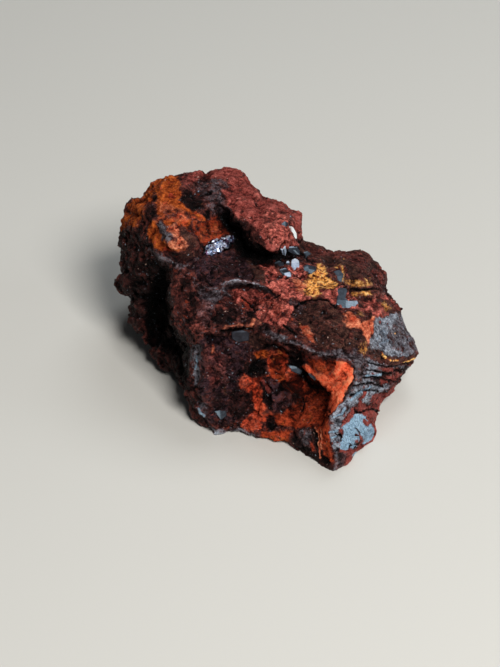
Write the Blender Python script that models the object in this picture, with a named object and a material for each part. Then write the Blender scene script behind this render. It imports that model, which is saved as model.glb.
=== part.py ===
"""Pyrite on limonite: a rough brown-red stone, grown into steel-grey pyrite down its right flank,
with small pyrite crystals set in its face. Metres, +Z up. It rests on the flat under it, its show
face turned to -Y and upwards, and its origin is the middle of its bounding box's bottom.

Places on the stone are given as (across, down) on a drawing of its show face, made from one
eye point, and as the height of the surface in front of (+) or behind (-) the drawing's plane, in mm.
"""

import math
import random

import bmesh
import bpy
import numpy as np
from mathutils import Matrix, Vector, geometry, kdtree, noise
from mathutils.bvhtree import BVHTree

MM = 0.001

# The driving dimensions.
STONE_WIDTH = 27.0 * MM  # over the show face
FACE_LEAN = math.radians(36.2)  # the eye looks down on the stone at this angle
EYE_HEIGHT = 119.7 * MM  # above the resting plane
FACE_DISTANCE = 189.0 * MM  # from the eye to the drawing's plane

# The drawing: its unit, and the point that lies square in front of the eye.
DRAWN_WIDTH = 306
UNIT = STONE_WIDTH / DRAWN_WIDTH
SIGHT_ACROSS, SIGHT_DOWN = 250.0, 333.5

GAP = 0.1 * MM  # left between a crystal and its pocket
REST_LEVEL = 0.15 * MM  # the plane of the flat under the stone, over the drawing's own floor
BLOCK = 60.0 * MM  # larger than the stone

# How finely the stone is modelled.
FORM_VOXEL = 0.2 * MM
RELIEF_VOXEL = 0.16 * MM
STONE_TRIANGLES = 7000

# Its relief: the size of each layer in mm, and its weight.
SWELL_SIZE, SWELL_WEIGHT = 5.0, 0.5
LUMP_SIZE, LUMP_WEIGHT = 2.3, 0.45
GRIT_SIZE, GRIT_WEIGHT = 1.1, 0.4
LUMP_EDGE = 0.45  # the width of the clefts between lumps, as a part of a lump
LUMP_BENDS = (Vector((9.3, 1.5, 7.9)), Vector((1.6, 6.2, 3.1)), Vector((5.7, 2.8, 8.6)))
GRIT_FADE, GRIT_STEP, GRIT_OCTAVES = 0.9, 2.1, 4
BLEND_PLACES = 3  # surveyed places that set the relief's depth at a point
BLEND_SOFTNESS = 0.2 * MM

# The edge of the stone as drawn, clockwise from the left: (across, down, height).
RIM = (
    (117, 226, -8.5), (121, 215, -8.5), (129, 202, -8.5), (139, 197, -8.0), (149, 181, -8.0),
    (157, 180, -7.5), (167, 174, -7.5), (176, 176, -7.2), (181, 172.5, -7.5), (195, 169, -8.0),
    (200, 170, -8.0), (205, 174.5, -8.0), (218, 167, -8.0), (240, 167.5, -8.0), (249, 177, -7.5),
    (252, 185, -7.0), (262, 190, -7.0), (265, 196, -7.0), (285, 200, -7.0), (289, 207, -6.5),
    (295, 206, -6.5), (301, 212, -6.5), (301, 222, -6.0), (302, 231, -6.0), (300, 237, -6.0),
    (305, 241, -7.0), (325, 248, -7.5), (333, 251, -8.0), (338, 249, -8.0), (357, 251, -8.5),
    (369, 255, -8.5), (380, 265, -8.5), (389, 280, -8.0), (387, 293, -7.0), (401, 308, -6.5),
    (405, 321, -6.0), (412, 335, -5.5), (421, 351, -4.5), (418.5, 358, -4.2), (403.5, 375, -4.0),
    (400, 384, -4.0), (395, 391, -4.0), (378.5, 406, -3.0), (380.5, 413, -3.0), (377, 426, -2.0),
    (372, 442, -0.4), (356, 456, 1.1), (349, 467, 2.2), (335, 473, 2.7), (328, 470, 2.5),
    (317, 462, 1.8), (306, 457, 1.3), (295, 449, 0.6), (286, 444, 0.2), (273, 443, 0.0),
    (260, 437, -0.6), (239, 433, -1.1), (228, 434, -1.1), (218, 438, -1.1), (208, 432, -1.2),
    (194, 428, -1.8), (193, 419, -2.4), (185.5, 397, -4.0), (179, 380, -5.5), (172, 371, -6.5),
    (158, 366, -7.5), (150, 358, -7.8), (144, 343, -8.0), (128, 325, -9.0), (126.5, 310, -9.0),
    (128, 297, -9.0), (117.5, 289, -9.2), (114.5, 280, -9.2), (120, 274, -9.0), (119.5, 254, -9.0),
    (118, 241, -8.8),
)

# Edges where the show face breaks: (across, down, height) along each.
BREAKS = {
    "prow": (
        (356, 366, 3.6), (352, 378, 4.0), (345, 392, 4.2), (337, 408, 4.3), (331, 422, 4.3),
        (330, 432, 4.3), (333, 445, 4.2), (333, 458, 3.8), (335, 468, 3.2),
    ),
    "prow_top": (
        (356, 366, 3.6), (361, 356, 3.0), (367, 342, 1.8), (373, 328, 0.6), (377, 317, -0.6),
    ),
    "front_ridge": (
        (262, 331, 2.0), (278, 338, 2.4), (295, 346, 2.9), (315, 352, 3.3), (335, 356, 3.6),
        (356, 366, 3.6),
    ),
    "ridge_under": (
        (262, 343, 0.8), (280, 348, 0.7), (298, 357, 0.8), (312, 363, 1.8), (332, 363, 2.7),
    ),
    "buttress_edge": (
        (171.5, 269, -0.6), (172, 285, -0.1), (171, 300, -0.1), (171, 318, 0.1), (176, 332, 0.2),
        (187, 341, 0.7), (191, 352, 0.6), (190, 365, 0.2), (190, 382, -0.4), (192, 402, -1.0),
    ),
    "buttress_foot": (
        (167, 271, -4.2), (167, 285, -6.0), (167, 300, -6.6), (167, 319, -6.6), (171, 336, -6.2),
        (182, 347, -5.4), (186, 356, -4.6), (185, 368, -4.4),
    ),
    "grey_ledge": (
        (222, 286, 1.0), (230, 281, 1.1), (245, 281, 1.0), (262, 285, 1.0), (280, 292, 1.0),
        (292, 301, 1.3),
    ),
    "ledge_under": (
        (225, 290, 0.5), (232, 286.5, 0.2), (246, 287, 0.0), (261, 291, 0.0), (277, 299, 0.3),
    ),
    "shoulder_lip": (
        (226, 205, -3.1), (240, 222, -1.8), (250, 240, -1.3), (262, 249, -1.0), (277, 252, -1.2),
    ),
    "shoulder_foot": (
        (224, 212, -4.2), (235, 227, -4.6), (243, 243, -4.4), (252, 254, -4.2), (266, 258, -4.0),
        (279, 257, -3.6),
    ),
    "orange_facet_lip": (
        (304, 365, 1.0), (312, 375, 1.5), (322, 383, 1.9), (331, 390, 2.6), (331, 405, 3.1),
        (328, 419, 3.4),
    ),
    "orange_facet_foot": (
        (303, 371, -0.4), (310, 381, -0.4), (320, 390, 0.0), (326, 397, 0.6), (325, 415, 1.6),
    ),
    "slab_lip": ((352, 286.5, -2.3), (366, 287, -2.8), (381, 288, -4.4)),
    "slab_under": ((353, 291, -2.6), (366, 291.5, -3.0), (381, 292, -4.4)),
    "front_shelf": ((203, 331, 2.5), (226, 328, 2.7), (250, 324, 2.5), (258, 327, 2.0)),
    "shelf_under": ((206, 336, 1.9), (228, 333, 1.5), (249, 331, 1.3)),
}

# Heights between those edges, by the part of the stone that they are on.
HEIGHTS = {
    "left_flank": (
        (126, 232, -5.9), (128, 250, -6.2), (132, 215, -5.6), (142, 206, -4.7), (150, 195, -4.6),
        (160, 185, -4.9), (138, 228, -3.9), (140, 245, -4.1), (136, 262, -4.9), (128, 274, -6.4),
        (121, 281, -7.2), (146, 215, -3.1),
    ),
    "crown": (
        (152, 222, -1.5), (149, 240, -2.0), (157, 256, -1.6), (168, 264, -1.3), (162, 228, -0.4),
        (170, 238, -0.1), (178, 250, -0.1), (184, 256, -0.7), (160, 202, -2.7), (172, 190, -4.0),
        (171, 210, -1.9), (185, 205, -2.5), (187, 222, -1.3), (185, 180, -5.4), (190, 236, -1.2),
        (194, 255, -0.8), (200, 195, -3.5), (203, 215, -2.6), (210, 180, -5.7), (228, 178, -6.1),
        (240, 186, -5.4), (215, 200, -3.5),
    ),
    "hollow": (
        (211, 224, -3.5), (205, 240, -2.5), (215, 247, -2.6), (228, 243, -3.1), (240, 255, -3.0),
    ),
    "shoulder": (
        (243, 202, -3.3), (257, 212, -2.3), (268, 226, -0.9), (274, 240, -0.8), (285, 217, -2.4),
        (292, 228, -2.5), (288, 241, -1.7), (255, 191, -5.2), (274, 206, -3.7), (297, 216, -4.6),
        (297, 233, -4.3),
    ),
    "saddle": (
        (200, 263, -0.5), (215, 266, -0.6), (232, 264, -1.6), (250, 266, -2.0), (266, 268, -2.0),
        (283, 265, -2.3), (205, 276, 0.1), (222, 278, 0.3), (241, 274, -0.6), (262, 276, -0.6),
        (281, 281, -0.2),
    ),
    "buttress": (
        (186, 269, 0.0), (179, 285, 0.4), (190, 286, 0.6), (177, 301, 0.4), (190, 301, 1.0),
        (206, 296, 1.2), (200, 316, 1.9), (185, 320, 1.0), (183, 333, 0.7),
    ),
    "cliff": (
        (150, 266, -3.9), (160, 268, -3.4), (150, 280, -5.2), (139, 290, -6.6), (134, 306, -7.3),
        (150, 304, -7.2), (140, 320, -7.5), (155, 331, -7.4), (160, 350, -6.7), (171, 352, -6.1),
        (178, 364, -5.5),
    ),
    "red_hollow": (
        (240, 296, 0.1), (260, 301, 0.3), (276, 306, 0.7), (224, 301, 0.9), (231, 315, 1.3),
        (250, 313, 0.9), (266, 316, 1.1), (286, 315, 1.7), (215, 311, 1.4),
    ),
    "lower_left_face": (
        (200, 346, 2.3), (205, 365, 1.8), (205, 386, 1.0), (208, 406, 0.2), (215, 421, -0.4),
        (222, 350, 1.9), (226, 370, 1.5), (228, 390, 0.8), (232, 410, 0.1), (236, 424, -0.5),
        (241, 346, 1.7), (246, 386, 0.3),
    ),
    "dome": (
        (300, 308, 0.9), (318, 303, 0.9), (335, 308, 1.0), (350, 312, 0.9), (364, 318, 0.9),
        (300, 331, 2.0), (305, 320, 1.9), (322, 320, 2.3), (340, 325, 2.5), (356, 331, 2.2),
        (315, 341, 2.9), (335, 344, 3.2), (351, 347, 3.0),
    ),
    "top_shelf": (
        (310, 292, 0.2), (325, 289, -0.2), (341, 296, 0.0), (291, 284, 0.0), (300, 275, -1.2),
        (310, 265, -2.5), (325, 270, -2.5), (340, 265, -3.6), (356, 270, -3.6), (331, 281, -1.4),
        (348, 280, -2.3), (352, 301, -0.7), (366, 308, -0.7), (371, 275, -4.4), (382, 280, -5.8),
        (361, 259, -6.0), (320, 256, -4.8), (345, 256, -6.1), (385, 305, -2.9), (395, 312, -4.2),
        (303, 252, -4.6),
    ),
    "pyrite_upper_facet": (
        (392, 325, -2.8), (405, 341, -3.3), (398, 353, -2.0), (384, 345, -0.5), (411, 351, -3.5),
        (385, 361, 0.2), (402, 364, -2.3),
    ),
    "pyrite_steps": (
        (365, 374, 2.6), (378, 374, 0.7), (390, 380, -1.3), (358, 386, 3.0), (374, 384, 0.8),
        (360, 396, 2.3), (372, 396, 0.5), (385, 391, -1.4), (352, 404, 3.4), (366, 406, 1.3),
    ),
    "pyrite_lower_facet": (
        (345, 425, 3.6), (358, 420, 2.1), (370, 415, 0.2), (350, 445, 3.0), (364, 435, 1.2),
        (371, 428, 0.0), (345, 459, 2.9),
    ),
    "orange_facet": (
        (316, 368, 2.2), (345, 371, 3.4), (322, 377, 2.4), (338, 384, 3.2), (338, 395, 3.7),
    ),
    "recess": (
        (262, 352, 0.2), (276, 361, -0.5), (262, 380, -0.2), (291, 384, -0.9), (305, 396, -0.6),
        (300, 410, 0.0), (314, 410, 0.6), (313, 423, 1.6),
    ),
    "island": (
        (270, 378, 0.7), (282, 381, 0.8), (292, 396, 0.5), (285, 408, 0.8), (272, 410, 0.8),
        (277, 394, 1.4),
    ),
    "lower_lumps": (
        (255, 400, 0.0), (262, 415, 0.3), (249, 425, -0.2), (275, 421, 0.2), (290, 425, 0.6),
        (270, 435, 0.2), (285, 437, 0.6), (300, 421, 1.1),
    ),
    "foot": (
        (300, 431, 1.7), (315, 427, 2.4), (300, 443, 1.4), (311, 445, 2.2), (321, 428, 3.1),
        (322, 445, 3.3), (327, 457, 3.2), (315, 454, 2.1),
    ),
}

# Heights of the far side and of the underside, seen from the same eye point through the stone.
FAR_HEIGHTS = {
    "back_left": (
        (136, 215, -12.0), (131, 240, -13.4), (130, 265, -14.4), (140, 288, -15.4), (160, 195, -12.0),
        (162, 226, -15.8), (165, 256, -18.2), (175, 284, -19.4), (192, 186, -11.8), (198, 212, -15.0),
        (200, 240, -18.0), (212, 268, -20.2),
    ),
    "back_valley": (
        (222, 185, -10.4), (230, 205, -12.0), (236, 228, -14.2), (243, 250, -16.8), (250, 272, -19.0),
    ),
    "back_middle": (
        (262, 207, -11.4), (273, 222, -13.8), (287, 226, -11.8), (282, 246, -17.6), (292, 270, -20.0),
    ),
    "back_right": (
        (310, 252, -12.0), (322, 263, -15.8), (350, 262, -13.2), (355, 277, -16.4), (375, 279, -12.8),
        (379, 297, -13.6), (392, 318, -11.2), (403, 335, -9.4), (408, 349, -7.6), (330, 288, -19.4),
        (360, 310, -16.2), (386, 346, -10.4), (398, 364, -6.8), (378, 376, -7.6),
    ),
    "undercut_left": (
        (138, 312, -13.6), (150, 335, -12.4), (165, 355, -9.9), (182, 380, -7.0), (193, 402, -4.9),
    ),
    "base": (
        (220, 288, -20.4), (255, 292, -19.4), (290, 297, -19.6), (195, 302, -18.4), (170, 320, -13.8),
        (215, 330, -15.4), (235, 312, -17.8), (265, 320, -16.4), (300, 312, -17.6), (330, 325, -15.6),
        (350, 350, -12.4), (300, 350, -11.6), (250, 355, -12.0), (205, 365, -9.4), (215, 395, -5.6),
        (245, 395, -5.8), (290, 390, -7.4), (340, 390, -6.8), (360, 400, -6.2), (360, 425, -3.2),
        (335, 430, -2.8), (305, 425, -3.0), (270, 420, -2.0), (235, 420, -2.2), (210, 420, -2.4),
        (335, 455, 0.2),
    ),
}

# Depth of the relief on each part of the stone, in mm.
RELIEF_DEPTHS = {
    "left_flank": 0.4, "crown": 0.32, "hollow": 0.2, "shoulder": 0.25, "saddle": 0.14,
    "buttress": 0.35, "cliff": 0.55, "red_hollow": 0.3, "lower_left_face": 0.32, "dome": 0.2,
    "top_shelf": 0.26, "pyrite_upper_facet": 0.06, "pyrite_steps": 0.25, "pyrite_lower_facet": 0.05,
    "orange_facet": 0.12, "recess": 0.25, "island": 0.25, "lower_lumps": 0.3, "foot": 0.12,
    "back_left": 0.5, "back_valley": 0.35, "back_middle": 0.45, "back_right": 0.4,
    "undercut_left": 0.5, "base": 0.45,
}

# Dents in the show face, and knobs (below zero): (across, down, radius, depth), the last two in mm.
DENTS = (
    (160, 296, 1.5, 0.9), (157, 322, 1.7, 1.0), (152, 340, 1.2, 0.6), (297, 361, 0.7, 0.9),
    (253, 328, 0.5, 0.5), (266, 329, 0.6, 0.6), (240, 404, 1.3, -0.6), (235, 398, 0.35, 0.5),
    (236, 409, 0.4, 0.5), (243, 412, 0.3, 0.4), (170, 237, 1.3, -0.5), (119, 281, 0.9, -0.3),
    (199, 205, 0.8, 0.5), (205, 192, 0.9, 0.4), (284, 212, 0.7, 0.3), (253, 213, 0.9, -0.3),
    (278, 330, 0.7, 0.3), (252, 304, 0.8, 0.35), (232, 317, 0.7, 0.35), (268, 398, 0.5, 0.6),
    (277, 398, 0.9, -0.4), (253, 366, 0.9, 0.35), (306, 432, 0.7, -0.3), (270, 422, 0.5, 0.4),
    (185, 240, 0.8, -0.3), (210, 230, 0.9, 0.3), (150, 210, 0.9, -0.3), (345, 388, 0.4, 0.3),
)

# Flat pyrite crystals: the corners drawn (across, down), how far each stands out of the stone, and
# how thick it is, in mm.
PLATES = {
    "pyrite_plate_pentagon": (
        ((291.5, 259.5), (295, 258), (298.6, 259.5), (300, 263.8), (299.4, 267.3), (294, 269),
         (291.3, 266)), 0.12, 0.35,
    ),
    "pyrite_plate_upper": (
        ((288.5, 246.4), (297.5, 245.6), (300.3, 251.8), (300.5, 255), (295, 255), (288.8, 252)),
        0.05, 0.3,
    ),
    "pyrite_plate_white": (
        ((281.4, 250), (286, 246.8), (286.9, 251.8), (285.6, 256.4), (282.7, 255)), 0.08, 0.25,
    ),
    "pyrite_plate_left": (
        ((274, 262.7), (279.3, 260.3), (283.6, 262.4), (283.6, 264.8), (279.3, 266.3), (275, 265.7)),
        0.08, 0.35,
    ),
    "pyrite_plate_small": (((285.6, 260.9), (289.3, 260.5), (289.6, 264.6), (286.4, 264.2)), 0.1, 0.3),
    "pyrite_plate_lower": (
        ((279.3, 269.3), (285.9, 267.3), (289.6, 270.6), (292, 273.6), (290.9, 276.6),
         (284.5, 275.9), (281.2, 272.6)), 0.08, 0.3,
    ),
    "pyrite_plate_right": (((303.2, 252), (307.7, 250.9), (310.9, 253.4), (306.8, 255.3)), 0.06, 0.3),
    "pyrite_plate_teal": (
        ((302.5, 266.5), (306.8, 264), (315.8, 266.2), (317, 270.9), (311.4, 274), (305, 271.8)),
        0.1, 0.45,
    ),
    "pyrite_plate_slate": (
        ((333.5, 271), (339.5, 269.5), (344, 273.8), (342, 281.4), (339, 281.8), (336.5, 276.4)),
        0.05, 0.35,
    ),
    "pyrite_plate_bent": (
        ((336.8, 289.5), (341, 287), (347, 288.5), (347.6, 292), (345.5, 298), (349, 300.6),
         (357.3, 300.2), (358.6, 303), (355.5, 307), (349, 309), (343, 308), (337, 303.5),
         (338, 294)), 0.06, 0.35,
    ),
    "pyrite_plate_square": (
        ((231.5, 332), (242, 330), (249.5, 332.5), (249, 340.5), (238, 343), (232, 339)), 0.03, 0.35,
    ),
    "pyrite_plate_foot": (((214.5, 411.5), (225.5, 410.5), (228, 415), (221, 420.5)), 0.05, 0.3),
    "pyrite_plate_shoulder": (
        ((281.3, 224), (285, 221), (288.5, 222.3), (288.4, 226), (284.5, 226.8)), 0.06, 0.3,
    ),
    "pyrite_blade": (
        ((291.6, 226.3), (293.4, 227), (296.8, 233), (297.2, 238.6), (294.8, 240), (293.5, 236)),
        0.12, 0.25,
    ),
    "pyrite_shard": (
        ((289, 366), (296, 366.5), (303, 371), (301, 375), (292, 371.5)), 0.08, 0.3,
    ),
    "pyrite_sheet": (
        ((353, 414.5), (361.5, 413), (367.5, 414), (366, 419), (371.5, 421), (374, 425.5),
         (374.3, 433), (372.5, 440), (366, 445), (361.5, 445.5), (357, 448), (347, 451.5),
         (340.5, 450), (339.3, 443.5), (343, 436.5), (340, 431), (341.8, 425.5), (350.5, 420)),
        0.1, 0.35,
    ),
}
PLATE_BEVEL = 0.05 * MM
PLATE_CLEARANCE = 1.0 * MM  # cleared of stone in front of each plate

# The lens of small pyrite cubes in the hollow.
DRUSE_OUTLINE = (
    (205, 250), (208, 245.5), (214, 242), (222, 239.5), (229, 237), (233, 238), (232, 243),
    (226, 248), (218, 252.5), (210, 254.5), (205.5, 254),
)
DRUSE_PROUD, DRUSE_THICK = 0.02, 0.6
DRUSE_CUBES = 30
DRUSE_CUBE = (0.22, 0.42)  # the smallest and the largest edge, in mm
DRUSE_HEIGHT = (-0.1, 0.12)  # the lowest and the highest centre of a cube over its bed, in mm
DRUSE_SEED = 11
CUBE_REACH = math.sqrt(3) / 2  # from a cube's centre to its corner, for an edge of 1

EIGHT_WAYS = tuple((math.cos(k * math.pi / 4), math.sin(k * math.pi / 4)) for k in range(8))
FLATTEST_CORNER = 0.4  # keeps a sharp corner from running far out where an outline is widened

# Each mineral's colour, roughness and metallic value.
LIMONITE = (0.19, 0.055, 0.032), 0.8, 0.0
PYRITE = (0.30, 0.35, 0.41), 0.3, 0.9


def on_ray(across, down, height_mm):
    """The point seen at this place of the drawing, at this height over its plane."""
    side = (across - SIGHT_ACROSS) * UNIT / FACE_DISTANCE
    rise = (SIGHT_DOWN - down) * UNIT / FACE_DISTANCE
    depth = FACE_DISTANCE - height_mm * MM
    ahead = math.cos(FACE_LEAN) + rise * math.sin(FACE_LEAN)
    fall = math.sin(FACE_LEAN) - rise * math.cos(FACE_LEAN)
    return Vector((depth * side, depth * ahead, EYE_HEIGHT - depth * fall))


def sight_line(across, down):
    """The eye point, and the direction in which it sees this place of the drawing."""
    eye = Vector((0, 0, EYE_HEIGHT))
    return eye, (on_ray(across, down, 0.0) - eye).normalized()


def empty_scene():
    for obj in list(bpy.data.objects):
        bpy.data.objects.remove(obj, do_unlink=True)


def material(name, colour, roughness, metallic):
    made = bpy.data.materials.new(name)
    made.use_nodes = True
    shader = made.node_tree.nodes["Principled BSDF"]
    shader.inputs["Base Color"].default_value = (*colour, 1)
    shader.inputs["Roughness"].default_value = roughness
    shader.inputs["Metallic"].default_value = metallic
    return made


def new_object(name, bm):
    mesh = bpy.data.meshes.new(name)
    bm.to_mesh(mesh)
    bm.free()
    obj = bpy.data.objects.new(name, mesh)
    bpy.context.scene.collection.objects.link(obj)
    return obj


def apply_modifiers(obj):
    """Keeps what the object's modifiers make, and clears them."""
    depsgraph = bpy.context.evaluated_depsgraph_get()
    mesh = bpy.data.meshes.new_from_object(obj.evaluated_get(depsgraph))
    obj.modifiers.clear()
    obj.data = mesh


def remesh(obj, voxel):
    modifier = obj.modifiers.new("remesh", "REMESH")
    modifier.mode = "VOXEL"
    modifier.voxel_size = voxel
    apply_modifiers(obj)


def decimate(obj, triangles):
    count = sum(len(face.vertices) - 2 for face in obj.data.polygons)
    modifier = obj.modifiers.new("decimate", "DECIMATE")
    modifier.ratio = min(1.0, triangles / count)
    modifier.use_collapse_triangulate = True
    apply_modifiers(obj)


def cut_away(obj, cutter):
    modifier = obj.modifiers.new("cut", "BOOLEAN")
    modifier.operation = "DIFFERENCE"
    modifier.object = cutter
    apply_modifiers(obj)
    bpy.data.objects.remove(cutter, do_unlink=True)


def surveyed_side(places, breaks):
    """Triangles over the drawn outline: its corners, then the other places, joined along the breaks."""
    survey = list(RIM) + [place for group in places.values() for place in group]
    edges = [(i, (i + 1) % len(RIM)) for i in range(len(RIM))]
    for line in breaks.values():
        start = len(survey)
        survey.extend(line)
        edges.extend((start + i, start + i + 1) for i in range(len(line) - 1))
    flat = [Vector(place[:2]) for place in survey]
    outline = [list(range(len(RIM)))]
    inside_constraints, merge_within = 1, 0.01
    joined, _, faces, sources, _, _ = geometry.delaunay_2d_cdt(
        flat, edges, outline, inside_constraints, merge_within
    )
    corners = []
    for point, source in zip(joined, sources):
        if not source:
            raise ValueError(f"two breaks cross near {tuple(point)}")
        corners.append(survey[source[0]])
    return corners, faces


def closed_stone():
    """The near and the far side, joined at the rim."""
    bm = bmesh.new()
    rim = {place: bm.verts.new(on_ray(*place)) for place in RIM}
    for places, breaks in ((HEIGHTS, BREAKS), (FAR_HEIGHTS, {})):
        corners, faces = surveyed_side(places, breaks)
        verts = [rim[place] if place in rim else bm.verts.new(on_ray(*place)) for place in corners]
        for face in faces:
            bm.faces.new([verts[i] for i in face])
    bmesh.ops.recalc_face_normals(bm, faces=bm.faces)
    return bm


def roughness_map():
    """A tree of the surveyed places, and the depth of relief at each."""
    places = [
        (on_ray(*place), RELIEF_DEPTHS[name])
        for group in (HEIGHTS, FAR_HEIGHTS)
        for name, members in group.items()
        for place in members
    ]
    tree = kdtree.KDTree(len(places))
    for index, (point, _) in enumerate(places):
        tree.insert(point, index)
    tree.balance()
    return tree, [depth for _, depth in places]


def relief_depth(point, tree, depths):
    """The depth of relief here, blended from the nearest surveyed places."""
    near = tree.find_n(point, BLEND_PLACES)
    weights = [1 / (distance + BLEND_SOFTNESS) for _, _, distance in near]
    total = sum(weight * depths[index] for weight, (_, index, _) in zip(weights, near))
    return total / sum(weights)


def relief(point):
    """Cobbled lumps with clefts between them and grit over them, from about -1 to 1."""
    p = point / MM
    bent = p + Vector([noise.noise(p / SWELL_SIZE + shift) for shift in LUMP_BENDS])
    nearest, second = noise.voronoi(bent / LUMP_SIZE)[0][:2]
    lumps = 2 * min(1, (second - nearest) / LUMP_EDGE) - 1
    grit = noise.fractal(p / GRIT_SIZE, GRIT_FADE, GRIT_STEP, GRIT_OCTAVES)
    swell = noise.noise(p / SWELL_SIZE)
    return LUMP_WEIGHT * lumps + GRIT_WEIGHT * grit + SWELL_WEIGHT * swell


def named_dents(obj):
    """Each dent or knob as its point on the near side, its radius and its depth."""
    tree = BVHTree.FromObject(obj, bpy.context.evaluated_depsgraph_get())
    dents = []
    for across, down, radius, depth in DENTS:
        point = tree.ray_cast(*sight_line(across, down))[0]
        dents.append((point, radius * MM, depth * MM))
    return dents


def roughen(obj):
    """Lumps, clefts, pits and knobs over the whole stone."""
    tree, depths = roughness_map()
    dents = named_dents(obj)
    moved = []
    for vertex in obj.data.vertices:
        out = relief(vertex.co) * relief_depth(vertex.co, tree, depths) * MM
        for centre, radius, depth in dents:
            away = (vertex.co - centre).length / radius
            if away < 1:
                out -= depth * (1 - away * away) ** 2
        moved.append(vertex.co + vertex.normal * out)
    for vertex, place in zip(obj.data.vertices, moved):
        vertex.co = place


def block_below(level):
    """A block whose top is at this level, to cut things flat with."""
    bm = bmesh.new()
    bmesh.ops.create_cube(bm, size=BLOCK)
    centre = on_ray(SIGHT_ACROSS, SIGHT_DOWN, 0.0)
    bmesh.ops.translate(bm, verts=bm.verts, vec=(centre.x, centre.y, level - BLOCK / 2))
    return new_object("block", bm)


def stone_plane(tree, corners, proud):
    """The frame of the plane that lies along the stone at these drawn corners, raised by proud."""
    points = np.array([tree.ray_cast(*sight_line(*corner))[0] for corner in corners])
    centre = points.mean(axis=0)
    normal = Vector(np.linalg.svd(points - centre)[2][2])
    eye, _ = sight_line(*corners[0])
    if normal.dot(eye - Vector(centre)) < 0:
        normal.negate()
    origin = Vector(centre) + normal * proud * MM
    side = Vector((0, 1, 0)).cross(normal).normalized()
    axes = Matrix((side, normal.cross(side), normal)).transposed()
    return Matrix.Translation(origin) @ axes.to_4x4()


def drawn_on(frame, corners):
    """Where the drawn corners fall on the frame's plane, counter-clockwise in its own coordinates."""
    inverse = frame.inverted()
    placed = []
    for corner in corners:
        eye, ray = sight_line(*corner)
        start, along = inverse @ eye, inverse.to_3x3() @ ray
        placed.append((start - along * (start.z / along.z)).to_2d())
    turns = sum(a.x * b.y - a.y * b.x for a, b in zip(placed, placed[1:] + placed[:1]))
    return placed if turns > 0 else placed[::-1]


def grown(corners, amount):
    """The outline moved outwards by this amount all round."""
    moved = []
    for before, here, after in zip(corners[-1:] + corners[:-1], corners, corners[1:] + corners[:1]):
        first, second = (here - before).normalized(), (after - here).normalized()
        outwards = Vector((first.y + second.y, -first.x - second.x))
        moved.append(here + outwards * amount / max(FLATTEST_CORNER, 1 + first.dot(second)))
    return moved


def prism(corners, low, high):
    bm = bmesh.new()
    base = bm.faces.new([bm.verts.new((*corner, low)) for corner in corners])
    top = bmesh.ops.extrude_face_region(bm, geom=[base])["geom"]
    verts = [element for element in top if isinstance(element, bmesh.types.BMVert)]
    bmesh.ops.translate(bm, verts=verts, vec=(0, 0, high - low))
    bmesh.ops.recalc_face_normals(bm, faces=bm.faces)
    return bm


def pocket(name, frame, corners, thick):
    bm = prism(grown(corners, GAP), -thick - GAP, PLATE_CLEARANCE)
    bm.transform(frame)
    return new_object(name + "_pocket", bm)


def plate(name, frame, corners, thick):
    """A flat crystal with chamfered upper edges."""
    bm = prism(corners, -thick, 0)
    top = [edge for edge in bm.edges if all(vert.co.z > -thick / 2 for vert in edge.verts)]
    bmesh.ops.bevel(bm, geom=top, offset=PLATE_BEVEL, segments=1, affect="EDGES", clamp_overlap=True)
    bm.transform(frame)
    return new_object(name, bm)


def add_plates(stone, tree, shine):
    for name, (drawn, proud, thick) in PLATES.items():
        frame = stone_plane(tree, drawn, proud)
        corners = drawn_on(frame, drawn)
        made = plate(name, frame, corners, thick * MM)
        made.data.materials.append(shine)
        cut_away(stone, pocket(name, frame, corners, thick * MM))
        if min(vertex.co.z for vertex in made.data.vertices) < REST_LEVEL + GAP:
            cut_away(made, block_below(REST_LEVEL + GAP))


def druse_cubes(corners):
    """Small cubes turned all ways, within the outline."""
    rng = random.Random(DRUSE_SEED)
    lows = [min(corner[axis] for corner in corners) for axis in (0, 1)]
    highs = [max(corner[axis] for corner in corners) for axis in (0, 1)]
    bm = bmesh.new()
    made = 0
    while made < DRUSE_CUBES:
        edge = rng.uniform(*DRUSE_CUBE) * MM
        centre = Vector([rng.uniform(low, high) for low, high in zip(lows, highs)])
        turn = Vector([rng.uniform(-math.pi, math.pi) for _ in range(3)])
        reach = edge * CUBE_REACH
        if not all(inside(centre + Vector(step) * reach, corners) for step in EIGHT_WAYS):
            continue
        place = Matrix.Translation((*centre, rng.uniform(*DRUSE_HEIGHT) * MM))
        turned = Matrix.Rotation(turn.x, 4, "X") @ Matrix.Rotation(turn.y, 4, "Y")
        bmesh.ops.create_cube(bm, size=edge, matrix=place @ turned @ Matrix.Rotation(turn.z, 4, "Z"))
        made += 1
    return bm


def inside(point, corners):
    """True where the point lies within the outline."""
    crossings = 0
    for start, end in zip(corners, corners[1:] + corners[:1]):
        if (start.y > point.y) != (end.y > point.y):
            where = start.x + (point.y - start.y) * (end.x - start.x) / (end.y - start.y)
            crossings += where > point.x
    return crossings % 2 == 1


def add_druse(stone, tree, shine):
    """One crust of small cubes, standing in a hollow of the stone."""
    frame = stone_plane(tree, DRUSE_OUTLINE, DRUSE_PROUD)
    corners = drawn_on(frame, DRUSE_OUTLINE)
    thick = DRUSE_THICK * MM
    bed = prism(corners, -thick, 0)
    bed.transform(frame)
    crust = new_object("pyrite_druse", bed)
    grown_cubes = druse_cubes(corners)
    grown_cubes.transform(frame)
    cubes = new_object("cubes", grown_cubes)
    union = crust.modifiers.new("cubes", "BOOLEAN")
    union.operation = "UNION"
    union.use_self = True
    union.object = cubes
    apply_modifiers(crust)
    bpy.data.objects.remove(cubes, do_unlink=True)
    crust.data.materials.append(shine)
    cut_away(stone, pocket("pyrite_druse", frame, corners, thick))


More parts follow.
